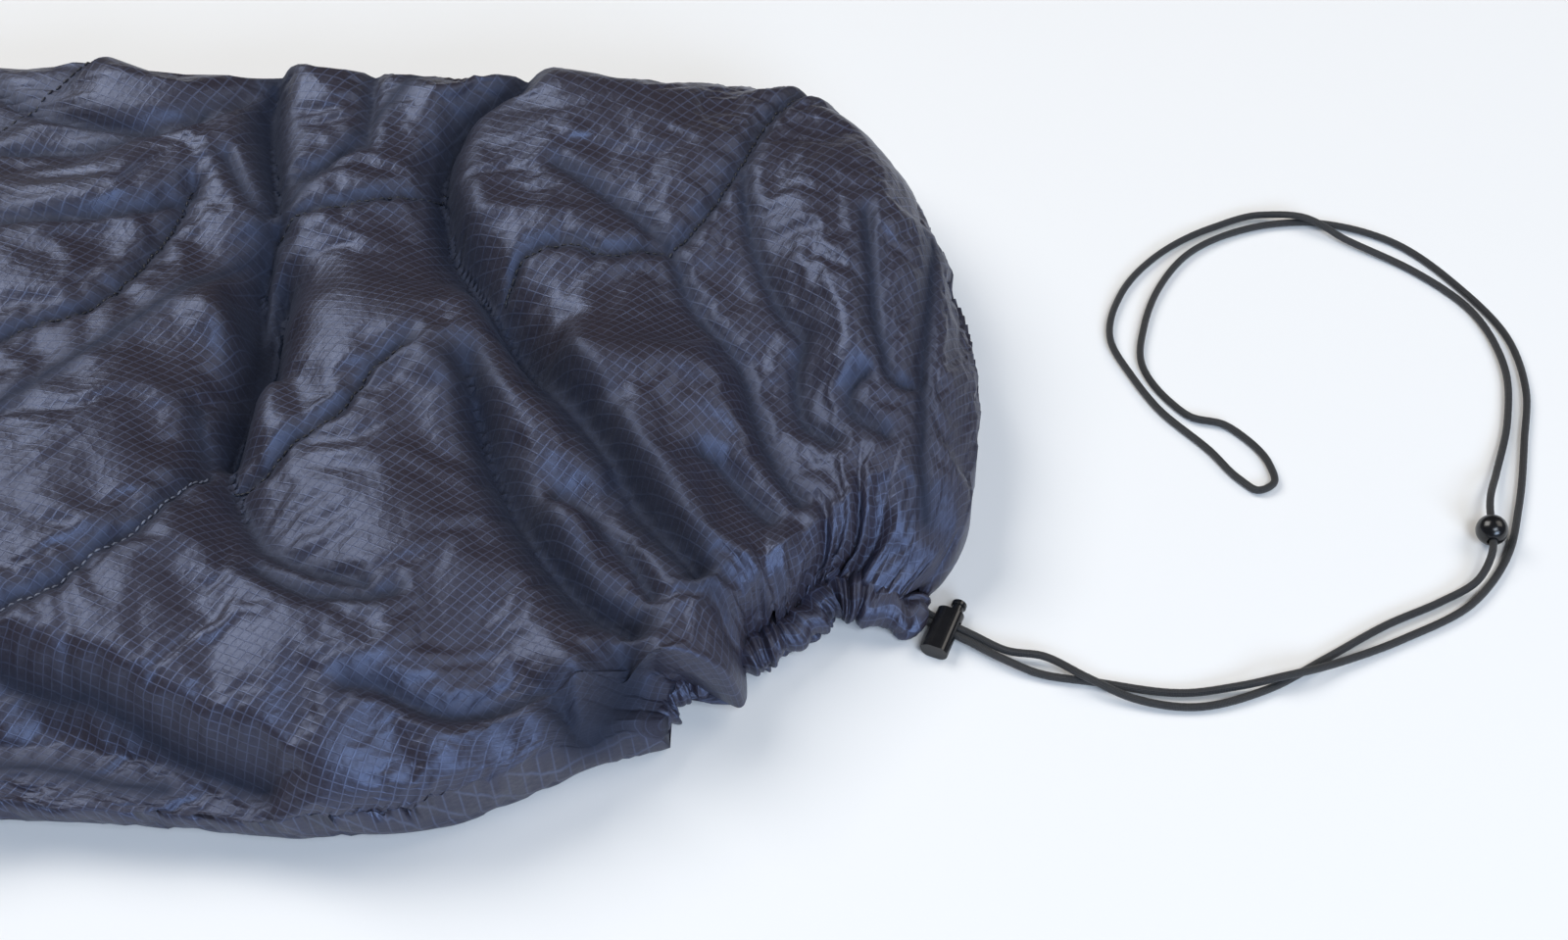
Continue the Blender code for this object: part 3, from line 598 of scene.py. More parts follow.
def seam_ends(number):
    share = number / (SEAMS - 1)
    x = SEAM_NEAR[0] - SEAM_PITCH * number
    skew = (SEAM_FAR[0] - SEAM_NEAR[0]) * (1 - share) ** SKEW_FADE
    near = SEAM_NEAR[1] + (-HEAD_HALF - SEAM_NEAR[1]) * share
    tuck = 0.014 * math.exp(-(((number - 1.6) / 1.6) ** 2))
    far = SEAM_FAR[1] + (HEAD_HALF - SEAM_FAR[1]) * share - tuck
    return (x, near), (x + skew, far)


def smooth_rows(at, rows, wanted):
    """Rows of numbers read off a smooth curve through the given ones."""
    at, rows, wanted = np.asarray(at, float), np.asarray(rows, float), np.asarray(wanted, float)
    slope = np.gradient(rows, at, axis=0)
    spot = np.clip(np.searchsorted(at, wanted, side="right") - 1, 0, len(at) - 2)
    span = (at[spot + 1] - at[spot])[:, None]
    t = ((wanted - at[spot]) / span[:, 0])[:, None]
    return hermite(rows[spot], rows[spot + 1], slope[spot] * span, slope[spot + 1] * span, t)


near_rows, far_rows, station = list(NEAR_EDGE), list(FAR_EDGE), list(STATION)
for number in range(1, SEAMS):
    near, far = seam_ends(number)
    near_rows.append(near)
    far_rows.append(far)
    station.append(0.235 + SEAM_PITCH * number)
near_rows.append((HEAD_X, -HEAD_HALF))
far_rows.append((HEAD_X, HEAD_HALF))
station.append(station[-1] + 0.122)
LENGTH = station[-1]
FINE_END = 0.42
rows_at = np.concatenate([np.arange(0.0, FINE_END, 0.0018), np.arange(FINE_END, LENGTH - 0.02, 0.0075)])
rows_at = np.concatenate([rows_at, np.linspace(LENGTH - 0.018, LENGTH, 8)])
near_line = smooth_rows(station, near_rows, rows_at)
far_line = smooth_rows(station, far_rows, rows_at)


def plan_curve(points, spacing):
    points = np.asarray(points, float)
    if len(points) > 2:
        at = np.concatenate([[0.0], np.cumsum(np.linalg.norm(np.diff(points[:, :2], axis=0), axis=1))])
        points = smooth_rows(at, points, np.linspace(0, at[-1], 6 * len(points)))
    return evenly(points, spacing)


def distance_to(spots, x, y):
    """Distance from each (x, y) to the nearest of the spots."""
    flat = np.stack([x.ravel(), y.ravel()], axis=1)
    found = np.empty(len(flat))
    for first in range(0, len(flat), 4000):
        part = flat[first : first + 4000]
        square = (part**2).sum(1)[:, None] + (spots**2).sum(1)[None, :] - 2 * part @ spots.T
        found[first : first + 4000] = np.sqrt(np.maximum(square.min(axis=1), 0.0))
    return found.reshape(x.shape)


DEEP = 0.0029  # a crease of this half width or more is a deep valley
ROLL_WIDTH, ROLL_DEPTH = 0.0105, 0.0110
DEEP_ROLL_WIDTH, DEEP_ROLL_DEPTH = 0.0185, 0.030
NIP_WIDTH, NIP_DEPTH = 0.0026, 0.0007


def rolled(away):
    """1 in a crease and 0 one roll's width from it, round like the side of a roll."""
    return 1 - np.sqrt(1 - (1 - np.clip(away + 0.13, 0, 1)) ** 2)


class Raster:
    """A square grid over the plan."""

    def __init__(self, low, high, step):
        self.low, self.high, self.step = low, high, step
        self.nx = int(round((high[0] - low[0]) / step)) + 1
        self.ny = int(round((high[1] - low[1]) / step)) + 1
        self.x = low[0] + step * np.arange(self.nx)[:, None] + np.zeros((1, self.ny))
        self.y = low[1] + step * np.arange(self.ny)[None, :] + np.zeros((self.nx, 1))

    def sample(self, field, x, y):
        fx = np.clip((x - self.low[0]) / self.step, 0, self.nx - 1.001)
        fy = np.clip((y - self.low[1]) / self.step, 0, self.ny - 1.001)
        ix, iy = fx.astype(int), fy.astype(int)
        tx, ty = fx - ix, fy - iy
        return (
            field[ix, iy] * (1 - tx) * (1 - ty) + field[ix + 1, iy] * tx * (1 - ty)
            + field[ix, iy + 1] * (1 - tx) * ty + field[ix + 1, iy + 1] * tx * ty
        )


def paint(raster, total, weight, half_width, line):
    """Holds the cells within the half width of a line at the line's height."""
    reach = int(math.ceil(half_width / raster.step)) + 1
    for x, y, z in line[:: max(int(raster.step / 0.0018), 1)]:
        ix = int(round((x - raster.low[0]) / raster.step))
        iy = int(round((y - raster.low[1]) / raster.step))
        if not (reach <= ix < raster.nx - reach - 1 and reach <= iy < raster.ny - reach - 1):
            continue
        window = (slice(ix - reach, ix + reach + 1), slice(iy - reach, iy + reach + 1))
        away = np.hypot(raster.x[window] - x, raster.y[window] - y)
        within = away <= max(half_width, raster.step * 0.71)
        hold = np.where(within, 1.0 / (0.2 + away / raster.step) ** 2, 0.0)
        total[window] += hold * z
        weight[window] += hold


BASE, EDGE = 0.020, 0.030
MOUTH_X, MOUTH_Y = 0.012, -0.105
outline = evenly(np.pad(np.vstack([near_line, far_line[::-1]]), ((0, 0), (0, 1))), 0.003)[:, :2]


def plateau(x, y):
    """How high the cloth lies where nothing holds it up or down."""
    base = 0.068 - 0.006 * np.clip((x + 0.30) / 0.3, 0, 1)
    mouth = np.hypot(x - MOUTH_X, y - MOUTH_Y)
    near_side = 0.012 * np.exp(-(((y + 0.17) / 0.05) ** 2)) * (x > -0.45)
    return base - 0.034 * np.exp(-((mouth / 0.060) ** 2)) - near_side


def envelope(away, edge=EDGE):
    return np.sqrt(1 - (1 - np.clip(away / edge, 0, 1)) ** 2)


def settle(low, high, step, creases, ridges, reach):
    """The raster, the cloth's height over it, and how far it has risen from the quilt's edge.

    The cloth is a stretched skin held along the lines, which then rolls down into each crease."""
    creases = [(w, plan_curve(p, 0.0018)) for w, p in creases]
    ridges = [(w, plan_curve(p, 0.0018)) for w, p in ridges]
    spots = np.vstack([p[:, :2] for _, p in creases])
    deep = np.vstack([p[:, :2] for w, p in creases if w >= DEEP] or [np.array([[9.0, 9.0]])])

    def sunk(x, y):
        """How far the cloth rolls down into the nearest crease, steeply into a deep one."""
        shallow_roll = ROLL_DEPTH * rolled(distance_to(spots, x, y) / ROLL_WIDTH)
        return np.maximum(shallow_roll, DEEP_ROLL_DEPTH * rolled(distance_to(deep, x, y) / DEEP_ROLL_WIDTH))

    held_lines = []
    for w, line in creases + ridges:
        rise = np.maximum(envelope(distance_to(outline, line[:, 0], line[:, 1])), 0.45)
        height = BASE + (line[:, 2] - BASE) / rise + sunk(line[:, 0], line[:, 1])
        held_lines.append((w, np.column_stack([line[:, :2], height])))
    field = raster = None
    for level in (4, 2, 1):
        before, raster = raster, Raster(low, high, step * level)
        total, weight = np.zeros((raster.nx, raster.ny)), np.zeros((raster.nx, raster.ny))
        for w, line in held_lines:
            paint(raster, total, weight, w if level < 4 else 0.0, line)
        held = weight > 0
        goal = plateau(raster.x, raster.y)
        start = goal if field is None else before.sample(field, raster.x, raster.y)
        field = np.where(held, total / np.where(held, weight, 1.0), start)
        pull = (raster.step / reach) ** 2
        for _ in range(220):
            edged = np.pad(field, 1, mode="edge")
            around = edged[2:, 1:-1] + edged[:-2, 1:-1] + edged[1:-1, 2:] + edged[1:-1, :-2]
            field = np.where(held, field, (around + pull * goal) / (4 + pull))
    for _ in range(26):
        edged = np.pad(field, 1, mode="edge")
        field = (field + edged[2:, 1:-1] + edged[:-2, 1:-1] + edged[1:-1, 2:] + edged[1:-1, :-2]) / 5
    away = distance_to(spots, raster.x, raster.y)
    field = field - sunk(raster.x, raster.y) - NIP_DEPTH * np.exp(-((away / NIP_WIDTH) ** 2))
    return raster, field, envelope(distance_to(outline, raster.x, raster.y))


SEAM_HALF_WIDTH = 0.0022
seam_lines = []
for number in range(1, SEAMS):
    (x1, y1), (x2, y2) = seam_ends(number)
    steps = np.linspace(0.0, 1.0, 24)
    wander = 0.006 * np.sin(steps * 9.0 + number * 2.1)
    height = 0.052 + 0.004 * np.sin(steps * 17 + number)
    points = np.stack([x1 + (x2 - x1) * steps + wander, y1 + (y2 - y1) * steps, height], 1)
    seam_lines.append((SEAM_HALF_WIDTH, points))
fine, fine_h, fine_edge = settle(
    (-0.50, -0.20), (0.10, 0.23), 0.0018, [*CREASES, seam_lines[1]], RIDGES.values(), reach=0.045
)
coarse, coarse_h, coarse_edge = settle((-1.96, -0.34), (0.10, 0.34), 0.005, seam_lines, [], reach=0.035)


def add_crease(raster, field, x, y, angle, length, depth, width):
    """A small sharp crease with a soft ridge beside it."""
    reach = int((length + 3 * width) / raster.step)
    ix = int(round((x - raster.low[0]) / raster.step))
    iy = int(round((y - raster.low[1]) / raster.step))
    x0, x1 = max(ix - reach, 0), min(ix + reach + 1, raster.nx)
    y0, y1 = max(iy - reach, 0), min(iy + reach + 1, raster.ny)
    if x0 >= x1 or y0 >= y1:
        return
    dx, dy = raster.x[x0:x1, y0:y1] - x, raster.y[x0:x1, y0:y1] - y
    along = dx * math.cos(angle) + dy * math.sin(angle)
    off = -dx * math.sin(angle) + dy * math.cos(angle) - 6.0 * along**2
    shape = np.exp(-np.abs(off) / width) - 0.6 * np.exp(-(((off - 2.2 * width) / (1.5 * width)) ** 2))
    field[x0:x1, y0:y1] -= depth * shape * np.exp(-((along / (0.5 * length)) ** 4))


fine_d, coarse_d = np.zeros_like(fine_h), np.zeros_like(coarse_h)
for raster, field, count, low, high, size in (
    (fine, fine_d, 520, -0.5, 0.09, 1.0), (coarse, coarse_d, 900, -1.92, -0.42, 2.2)
):
    for _ in range(count):
        x, y = rng.uniform(low, high), rng.uniform(-0.30, 0.30)
        to_mouth = math.atan2(MOUTH_Y - y, MOUTH_X - x)
        near_foot = math.exp(-math.hypot(x - MOUTH_X, y - MOUTH_Y) / 0.18)
        angle = rng.uniform(-0.6, 1.4) * (1 - near_foot) + to_mouth * near_foot + rng.normal(0, 0.25)
        length = rng.uniform(0.010, 0.042) * size
        depth, width = rng.uniform(0.0003, 0.0013) * size, rng.uniform(0.0011, 0.0026) * size
        add_crease(raster, field, x, y, angle, length, depth, width)


def pucker(raster, field, line, spacing, depth, length):
    """Small creases that run out from a row of stitches."""
    line = plan_curve(line, 0.002)
    tangent = np.gradient(line[:, :2], axis=0)
    place = 0.0
    while place < len(line) - 1:
        k = int(place)
        angle = math.atan2(tangent[k, 1], tangent[k, 0]) + math.pi / 2 + rng.normal(0, 0.35)
        reach = length * rng.uniform(0.6, 1.6)
        sunk_by = depth * rng.uniform(0.5, 1.3)
        add_crease(raster, field, line[k, 0], line[k, 1], angle, reach, sunk_by, raster.step)
        place += spacing / 0.002 * rng.uniform(0.6, 1.5)


for _, points in SEAM_CREASES.values():
    pucker(fine, fine_d, points, 0.010, 0.0015, 0.020)
for _, points in seam_lines:
    pucker(coarse, coarse_d, points, 0.022, 0.0032, 0.044)


def middle_height(along):
    """Height of the fold line round the quilt's edge."""
    return np.interp(along, (0.0, 0.03, 0.12, 0.30, 0.6), (0.007, 0.012, 0.019, 0.024, 0.033))


def top_height(x, y, base):
    blend = np.clip((x + 0.46) / 0.05, 0, 1)
    height = fine.sample(fine_h, x, y) * blend + coarse.sample(coarse_h, x, y) * (1 - blend)
    rise = fine.sample(fine_edge, x, y) * blend + coarse.sample(coarse_edge, x, y) * (1 - blend)
    small = fine.sample(fine_d, x, y) * blend + coarse.sample(coarse_d, x, y) * (1 - blend)
    return base + np.maximum(height - base, 0.002) * rise + small * np.clip(rise * 1.4 - 0.3, 0, 1)


TOP_COLUMNS, BOTTOM_COLUMNS = 240, 56
s = np.linspace(0.0, 1.0, TOP_COLUMNS)
top_v = s - 0.13 * np.sin(2 * math.pi * s)
s = np.linspace(0.0, 1.0, BOTTOM_COLUMNS + 2)[1:-1]
bottom_v = 1 - (s - 0.13 * np.sin(2 * math.pi * s))
inward = np.array((-0.58, 0.815))

# At the mouth the shell runs into the gathered hem, except where one smooth lobe hangs over it.
HEM_ROOM, LOBE_REACH = 0.0095, 0.0045
lobe = np.exp(-(((top_v - 0.25) / 0.105) ** 2)) * np.clip(top_v / 0.06, 0, 1)
drawn_in = 0.009 * np.clip(np.minimum(top_v / 0.12, (1 - top_v) / 0.22), 0, 1) ** 0.7
set_back = (HEM_ROOM + drawn_in) * (1 - lobe) - LOBE_REACH * lobe
start = smooth_rows(LIP_AT, LIP, top_v) + inward * set_back[:, None]
fade = np.clip(1 - rows_at / 0.090, 0, 1) ** 1.3
base_rows = middle_height(rows_at)


def from_mouth(points, v):
    """How far points at the mouth lie from the straight line across the first row."""
    return points - (near_line[:1] + (far_line[:1] - near_line[:1]) * v[:, None])


def plan(rows, v, offsets):
    """Plan points of every row at the given shares of the way across."""
    near, far = smooth_rows(station, near_rows, rows), smooth_rows(station, far_rows, rows)
    return near[:, None] + (far - near)[:, None] * v[None, :, None] + fade[:, None, None] * offsets[None]


top_xy = plan(rows_at, top_v, from_mouth(start, top_v))
top_z = top_height(top_xy[..., 0], top_xy[..., 1], base_rows[:, None])


def rough_wave(at, pitch, seed):
    """A wave whose folds vary in width, rounded at the top and sharp at the bottom."""
    local = np.random.default_rng(seed)
    bends = local.uniform(0, 2 * math.pi, 3)
    turn = 2 * math.pi * at / pitch + 1.3 * np.sin(2 * math.pi * at / (4.7 * pitch) + bends[0])
    turn = turn + 0.7 * np.sin(2 * math.pi * at / (2.3 * pitch) + bends[1])
    return 1 - 2 * np.abs(np.sin(turn / 2 + bends[2])) ** 0.8


# Soft pleats run out from the drawn hem and die away over the shell.
PLEAT, CRIMP, SOFTENED = 0.0068, 0.0028, 0.004
hem = np.clip(1 - rows_at / 0.085, 0, 1)[:, None]
phase = top_v[None, :] + 0.014 * np.sin(top_v[None, :] * 23 + rows_at[:, None] * 60)
pleats = -rough_wave(phase, 0.094, 11) - 0.6 * rough_wave(phase + 0.02, 0.057, 12)
crimps = -rough_wave(phase, 0.038, 13) - 0.5 * rough_wave(phase + 0.01, 0.023, 14)
across_edge = np.sin(math.pi * np.clip(top_v, 0, 1))[None, :] ** 0.7
smooth_lobe = 1 - 0.95 * lobe[None, :]
edge_height = 0.0135 + 0.008 * lobe[None, :]
climb = np.interp(rows_at, (0.0, 0.012, 0.03, 0.06, 0.09), (0.0, 0.009, 0.024, 0.046, 0.2))
limit = edge_height + climb[:, None]
over = np.tanh((top_z - limit + SOFTENED) / 0.012)
top_z = np.where(top_z > limit - SOFTENED, limit - SOFTENED + SOFTENED * over, top_z)
off_side = np.clip(top_v / 0.15, 0, 1)[None, :]
top_z = top_z + across_edge * smooth_lobe * (PLEAT * hem**1.3 * pleats + CRIMP * hem**4 * crimps * off_side)
top_z = top_z + 0.0060 * lobe[None, :] ** 1.5 * np.exp(-(((rows_at - 0.016) / 0.016) ** 2))[:, None]
drop = np.exp(-rows_at / 0.003)[:, None] * lobe[None, :]
top_z = np.maximum(top_z * (1 - 0.55 * drop), 0.0035)

tucked = np.clip(np.minimum(bottom_v, 1 - bottom_v) / 0.14, 0, 1)
under = smooth_rows(LIP_AT, LIP, bottom_v) + inward * (HEM_ROOM + 0.0125 * tucked)[:, None]
bottom_xy = plan(rows_at, bottom_v, from_mouth(under, bottom_v))
width = np.linalg.norm(far_line - near_line, axis=1)[:, None]
edge_away = np.minimum(bottom_v, 1 - bottom_v)[None, :] * width
quarter = 1 - np.clip(edge_away / (base_rows[:, None] * 1.15), 0, 1)
bottom_z = base_rows[:, None] * (1 - np.sqrt(1 - quarter**2)) + 0.0003
sheet_rows = np.concatenate([np.dstack([top_xy, top_z]), np.dstack([bottom_xy, bottom_z])], axis=1)

# Past the footbox the near side is open: a groove between the upper and the lower half.
open_share = np.clip((rows_at - 0.72) / 0.10, 0, 1)
near_fold = np.clip(1 - np.abs(sheet_rows[..., 2] - base_rows[:, None]) / 0.013, 0, 1)
groove = 0.011 * open_share[:, None] * near_fold**2
groove = groove * (np.concatenate([top_v, bottom_v])[None, :] < 0.2)
sheet_rows[..., :2] += groove[..., None] * ((far_line - near_line) / width)[:, None]


def tube_faces(rows, columns):
    index = np.arange(rows * columns).reshape(rows, columns)
    following = np.roll(index, -1, axis=1)
    return np.stack([index[:-1], following[:-1], following[1:], index[1:]], axis=-1).reshape(-1, 4)


def relax(rows_grid, hold, growth, cap, frames=12):
    """Lets the cloth settle as real cloth a little too large for its stitches, held where hold is 1."""
    coarse_grid, coarse_hold = rows_grid[::2, ::2], hold[::2, ::2]
    r, c = coarse_hold.shape
    obj = mesh_piece("settling", coarse_grid.reshape(-1, 3), tube_faces(r, c).tolist(), SHELL)
    group = obj.vertex_groups.new(name="held")
    for level in (0.25, 0.5, 0.75, 1.0):
        chosen = np.flatnonzero(np.abs(np.round(coarse_hold.ravel() * 4) / 4 - level) < 0.01)
        if len(chosen):
            group.add(chosen.tolist(), level, "REPLACE")
    cloth = obj.modifiers.new("Cloth", "CLOTH")
    settings = cloth.settings
    settings.quality = 4
    settings.mass = 0.15
    settings.tension_stiffness = settings.compression_stiffness = 18.0
    settings.shear_stiffness = 6.0
    settings.bending_stiffness = 0.08
    settings.vertex_group_mass = "held"
    settings.pin_stiffness = 1.0
    settings.use_pressure = True
    settings.uniform_pressure_force = 1.2
    settings.shrink_min = -growth
    settings.effector_weights.gravity = 0.0
    cloth.collision_settings.use_collision = False
    cloth.collision_settings.use_self_collision = False
    cloth.point_cache.frame_end = frames
    for frame_number in range(1, frames + 1):
        bpy.context.scene.frame_set(frame_number)
    settled = obj.evaluated_get(bpy.context.evaluated_depsgraph_get())
    found = np.empty(r * c * 3)
    settled.data.vertices.foreach_get("co", found)
    moved = found.reshape(r, c, 3) - coarse_grid
    bpy.context.scene.frame_set(1)
    bpy.data.objects.remove(obj, do_unlink=True)
    size = np.linalg.norm(moved, axis=2, keepdims=True)
    moved = moved * cap * np.tanh(size / cap) / np.maximum(size, 1e-9)
    # Back to every row and column of the full grid.
    at = np.arange(rows_grid.shape[0]) / 2
    low = np.minimum(at.astype(int), r - 1)
    high = np.minimum(low + 1, r - 1)
    t = (at - low)[:, None, None]
    moved = moved[low] * (1 - t) + moved[high] * t
    at = np.arange(rows_grid.shape[1]) / 2
    low = at.astype(int) % c
    t = (at - at.astype(int))[None, :, None]
    return rows_grid + moved[:, low] * (1 - t) + moved[:, (low + 1) % c] * t


spots = np.vstack([plan_curve(p, 0.002)[:, :2] for _, p in [*CREASES, *seam_lines]])
near_crease = np.exp(-((distance_to(spots, sheet_rows[..., 0], sheet_rows[..., 1]) / 0.0045) ** 2))
hold = np.clip(near_crease * 1.2, 0, 1)
hold[:, TOP_COLUMNS:] = np.where(sheet_rows[:, TOP_COLUMNS:, 2] < 0.002, 1.0, hold[:, TOP_COLUMNS:])
hold[:4] = hold[-6:] = 1.0
sheet_rows = relax(sheet_rows, hold, 0.028, 0.0042)

# The mouth and the head: the cloth turns in and runs back a little way inside.
inner_foot = []
top = slice(0, TOP_COLUMNS)
for row in (1, 3, 6, 9):
    ring = sheet_rows[row].copy()
    ring[top, 2] = np.maximum(np.minimum(sheet_rows[0][top, 2], ring[top, 2]) - 0.0022, 0.0026)
    ring[TOP_COLUMNS:, 2] = 0.0016
    ring[0, 2] = ring[TOP_COLUMNS - 1, 2] = 0.0022
    ring[:, :2] += 0.10 * (ring[:, :2].mean(axis=0) - ring[:, :2])
    inner_foot.append(ring)
head_ring = sheet_rows[-1]
middle = base_rows[-1]
height = head_ring[:, 2] - middle
half = np.abs(height) / 2
side = np.where(height < 0, -1.0, 1.0)
inner_head = []
for angle in np.radians((25, 50, 75, 100, 125, 150, 172)):
    ring = head_ring.copy()
    ring[:, 2] = middle + side * (half + half * np.cos(angle) + 0.0016 * (1 - np.cos(angle)) / 2)
    ring[:, 0] = HEAD_X + 0.010 - np.minimum(0.9 * half, 0.010) * np.sin(angle)
    inner_head.append(ring)
for _ in range(2):
    ring = inner_head[-1].copy()
    ring[:, 0] += 0.03
    inner_head.append(ring)
head_end = HEAD_X + 0.010 - np.linspace(0, 0.002, 8)[:, None]
sheet_rows[-8:, :, 0] = np.maximum(sheet_rows[-8:, :, 0], head_end)
grid = np.concatenate([np.array(inner_foot[::-1]), sheet_rows, np.array(inner_head)], axis=0)
grid = np.roll(grid, BOTTOM_COLUMNS // 2, axis=1)  # the weave's join is under the middle
grid[..., 2] = np.maximum(grid[..., 2], 0.0002)
rows, columns = grid.shape[:2]


def blurred(field, axis, times):
    for _ in range(times):
        padded = np.concatenate([np.take(field, [0], axis), field, np.take(field, [-1], axis)], axis)
        count = field.shape[axis]
        before, after = np.take(padded, range(count), axis), np.take(padded, range(2, count + 2), axis)
        field = 0.25 * before + 0.5 * field + 0.25 * after
    return field


def weave_coordinates(grid):
    """Metres along and across the cloth, square to each other: the best fit to the length of every edge."""
    smooth = blurred(blurred(grid, 0, 14), 1, 14)
    across_edge = np.diff(smooth, axis=1)
    along_edge = np.diff(smooth, axis=0)
    row_way = np.gradient(smooth, axis=1)
    row_way /= np.maximum(np.linalg.norm(row_way, axis=2, keepdims=True), 1e-9)
    row_way = 0.5 * (row_way[1:] + row_way[:-1])
    row_way /= np.maximum(np.linalg.norm(row_way, axis=2, keepdims=True), 1e-9)
    shear = (along_edge * row_way).sum(2)
    gain = np.sqrt(np.maximum((along_edge**2).sum(2) - shear**2, 0.0))
    length = np.linalg.norm(across_edge, axis=2)

    def fit(row_steps, column_steps):
        count_r, count_c = row_steps.shape[0], column_steps.shape[1]
        source = np.zeros((count_r, count_c))
        source[:, :-1] -= row_steps
        source[:, 1:] += row_steps
        source[:-1] -= column_steps
        source[1:] += column_steps
        kr, kc = np.arange(count_r), np.arange(count_c)
        basis_r = np.cos(math.pi * (kr[:, None] + 0.5) * kr[None, :] / count_r)
        basis_c = np.cos(math.pi * (kc[:, None] + 0.5) * kc[None, :] / count_c)
        basis_r /= np.linalg.norm(basis_r, axis=0)
        basis_c /= np.linalg.norm(basis_c, axis=0)
        weight = 4 - 2 * np.cos(math.pi * kr / count_r)[:, None] - 2 * np.cos(math.pi * kc / count_c)
        weight[0, 0] = 1.0
        spectrum = basis_r.T @ source @ basis_c / weight
        spectrum[0, 0] = 0.0
        return basis_r @ spectrum @ basis_c.T

    return np.stack([fit(length, shear), fit(np.zeros_like(length), gain)], axis=-1)


weave = weave_coordinates(grid)
faces = tube_faces(rows, columns)
corner_uv = weave.reshape(-1, 2)[faces]
join = (np.arange(len(faces)) % columns) == columns - 1
step = np.linalg.norm(grid[:, 0] - grid[:, -1], axis=1)
for corner, row_shift in ((1, 0), (2, 1)):
    row = np.arange(rows - 1) + row_shift
    corner_uv[join, corner] = weave[row, -1] + np.stack([step[row], np.zeros(rows - 1)], axis=1)
shell = mesh_piece("quilt_shell", grid.reshape(-1, 3) + FOOT, faces.tolist(), SHELL)
# Painted shade: the crease attribute is 1 in the creases and deep valleys of the raised cloth, and the
# shell's colour is darkened there.
deep = np.vstack([plan_curve(p, 0.002)[:, :2] for w, p in CREASES if w >= DEEP])
plan_x, plan_y, raised = grid[..., 0], grid[..., 1], grid[..., 2] > 0.012
valley_shade = 0.9 * np.exp(-((distance_to(deep, plan_x, plan_y) / 0.0095) ** 2))
crease_shade = np.maximum(np.exp(-distance_to(spots, plan_x, plan_y) / 0.0030), valley_shade) * raised
crease = shell.data.attributes.new("crease", "FLOAT", "POINT")
crease.data.foreach_set("value", crease_shade.astype(np.float32).ravel())
layer = shell.data.uv_layers.new(name="UVMap")
layer.data.foreach_set("uv", corner_uv.astype(np.float32).ravel())
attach(shell, "quilt")
insulation = [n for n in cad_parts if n.startswith(("insulation_", "baffle_wall_"))]
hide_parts("outer_shell", "lining", *insulation)

# ------------------------------------------------------------------ the drawn hem

HEM_STEP, HEM_SIDES, HEM_SHIFT, HEM_RISE = 0.00055, 40, 0.0085, 0.0030
HEM_WIDE, HEM_TALL, HEM_GATHER, HEM_ROUND = 0.0064, 0.0052, 2.2, 0.0055
hem_route = [
    (0.0465, -0.0650, 0.0062), (0.0455, -0.0730, 0.0066), (0.0400, -0.0765, 0.0080),
    (0.0310, -0.0750, 0.0090), (0.0220, -0.0770, 0.0088), (0.0150, -0.0835, 0.0085),
    (0.0070, -0.0935, 0.0080), (-0.0080, -0.1010, 0.0078), (-0.0190, -0.1090, 0.0075),
    (-0.0320, -0.1150, 0.0072), (-0.0410, -0.1230, 0.0066), (-0.0470, -0.1300, 0.0058),
    (-0.0530, -0.1325, 0.0045), (-0.0555, -0.1270, 0.0040), (-0.0490, -0.1160, 0.0038),
    (-0.0380, -0.1070, 0.0038), (-0.0220, -0.1010, 0.0038), (-0.0070, -0.0930, 0.0038),
    (0.0060, -0.0850, 0.0038), (0.0180, -0.0735, 0.0038), (0.0290, -0.0680, 0.0040),
    (0.0380, -0.0690, 0.0042),
]
hem_route = [
    (x - 0.58 * HEM_SHIFT * share, y + 0.815 * HEM_SHIFT * share, z + HEM_RISE * share)
    for (x, y, z), share in zip(hem_route, [0.0, 0.0, 0.3, 0.7] + [1.0] * 6 + [0.8, 0.5] + [0.4] * 10)
]
hem_line = evenly(curve_through(hem_route), HEM_STEP)
along = np.arange(len(hem_line)) * HEM_STEP
angle = np.arange(HEM_SIDES) / HEM_SIDES * 2 * math.pi
a, b = along[:, None], angle[None, :]
twist = a + 0.0016 * np.sin(b + 0.6) + 0.0010 * np.sin(2 * b + 40 * a)
folds = 0.22 * -rough_wave(twist, 0.0052, 3) + 0.13 * -rough_wave(twist + 0.001, 0.0031, 5)
folds = folds * (0.55 + 0.45 * np.sin(b + 170 * a + 1.0))
thin = np.clip(hem_line[:, 2] / 0.0072, 0.45, 1.15)[:, None]
full = 0.30 * np.exp(-(((along - 0.024) / 0.012) ** 2))
lean = 0.35 * np.exp(-(((along - 0.155) / 0.03) ** 2))
bulk = ((0.95 + full - lean) * np.interp(along, (0.0, 0.012), (0.72, 1.0)))[:, None]
wide = HEM_WIDE * (1 + folds) * np.clip(thin + 0.25, 0.8, 1.2) * bulk
tall = HEM_TALL * (1 + folds) * thin * bulk
side_way, up_way = frames_along(hem_line)
sideways = 0.0014 * np.sin(along * 640 + 0.5) + 0.0012 * np.sin(along * 271)
upward = 0.0008 * np.sin(along * 480)
sway = hem_line + side_way * sideways[:, None] + up_way * upward[:, None]
ends = np.clip(np.minimum(along, along[-1] - along) / 0.004, 0, 1)[:, None] ** 0.5
rings = sway[:, None] + ends[..., None] * (
    side_way[:, None] * (wide * np.cos(b))[..., None] + up_way[:, None] * (tall * np.sin(b))[..., None]
)
rings[..., 2] = np.maximum(rings[..., 2], 0.0003)
lengthways = np.repeat(along[:, None] * HEM_GATHER, HEM_SIDES, 1)
hem_uv = np.stack([lengthways, np.repeat(angle[None, :] * HEM_ROUND, len(along), 0)], -1)
hem_faces = tube_faces(len(along), HEM_SIDES).tolist()
hem_piece = mesh_piece("hem_channel", rings.reshape(-1, 3) + FOOT, hem_faces, SHELL, hem_uv.reshape(-1, 2))
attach(hem_piece, "quilt")
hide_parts("foot_hem_channel", "drawcord_in_hem")

# ------------------------------------------------------------------ the stitches

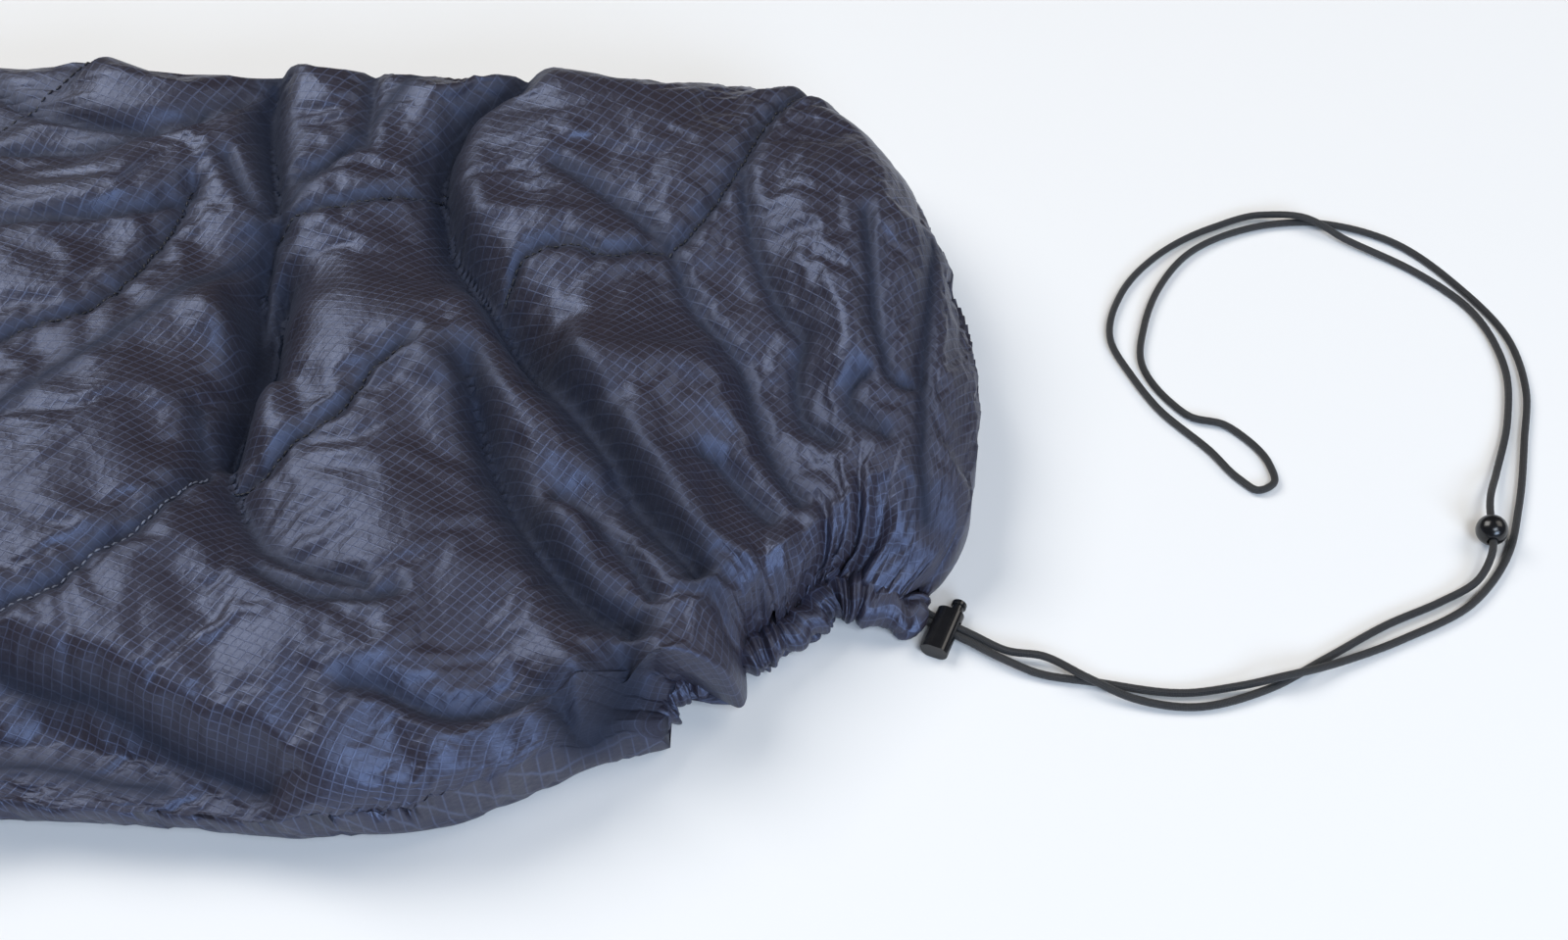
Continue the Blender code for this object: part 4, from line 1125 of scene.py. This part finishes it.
corners = [v.co.copy() for v in shell.data.vertices]
surface = BVHTree.FromPolygons(corners, [tuple(f) for f in faces], epsilon=0.0)
THREAD_SIDES, THREAD_SHARES = 6, (-0.5, -0.32, 0.0, 0.32, 0.5)
ABOVE, DOWN, STEEPEST_STEP = 0.3, Vector((0.0, 0.0, -1.0)), 0.0025


def stitch_row(name, line, material, pitch=0.0031, length=0.0023, thick=0.00042):
    """Short threads that lie on the cloth along a line, each end dipping into it."""
    line = plan_curve(line, pitch)
    points, faces = [], []
    for k, (x, y, _) in enumerate(line[:-1]):
        nx, ny = line[k + 1][0] - x, line[k + 1][1] - y
        size = math.hypot(nx, ny)
        nx, ny = nx / size, ny / size
        x, y = x + rng.normal(0, 0.00012), y + rng.normal(0, 0.00012)
        chain = []
        for share in THREAD_SHARES:
            px, py = x + nx * length * share + FOOT[0], y + ny * length * share
            hit, normal, _, _ = surface.ray_cast(Vector((px, py, ABOVE)), DOWN)
            if hit is None:
                break
            chain.append((hit, normal, abs(share)))
        if len(chain) < len(THREAD_SHARES):
            continue
        if max(abs(a[0].z - b[0].z) for a, b in zip(chain, chain[1:])) > STEEPEST_STEP:
            continue
        start = len(points)
        for hit, normal, share in chain:
            rise = thick * (0.75 - 2.6 * share**2)
            radius = thick * (1 - 2.2 * share**2)
            middle = hit + normal * rise
            side = normal.cross(Vector((nx, ny, 0))).normalized()
            for turn in range(THREAD_SIDES):
                angle = 2 * math.pi * turn / THREAD_SIDES
                points.append(middle + side * radius * math.cos(angle) + normal * radius * math.sin(angle))
        for ring in range(start, len(points) - THREAD_SIDES, THREAD_SIDES):
            for turn in range(THREAD_SIDES):
                a, b = ring + turn, ring + (turn + 1) % THREAD_SIDES
                faces.append((a, b, b + THREAD_SIDES, a + THREAD_SIDES))
        faces.append(tuple(range(start + THREAD_SIDES - 1, start - 1, -1)))
        faces.append(tuple(range(len(points) - THREAD_SIDES, len(points))))
    if not points:
        return
    piece = mesh_piece(name, points, faces, material)
    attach(piece, "quilt")


for name, (_, line) in SEAM_CREASES.items():
    stitch_row("stitches_" + name, line, PALE_THREAD if name == "seam_a_left" else DARK_THREAD)
for number, (_, line) in enumerate(seam_lines, 1):
    if number > 1:
        stitch_row(f"stitches_seam_{number:02d}", line, DARK_THREAD, pitch=0.0042, length=0.0031)
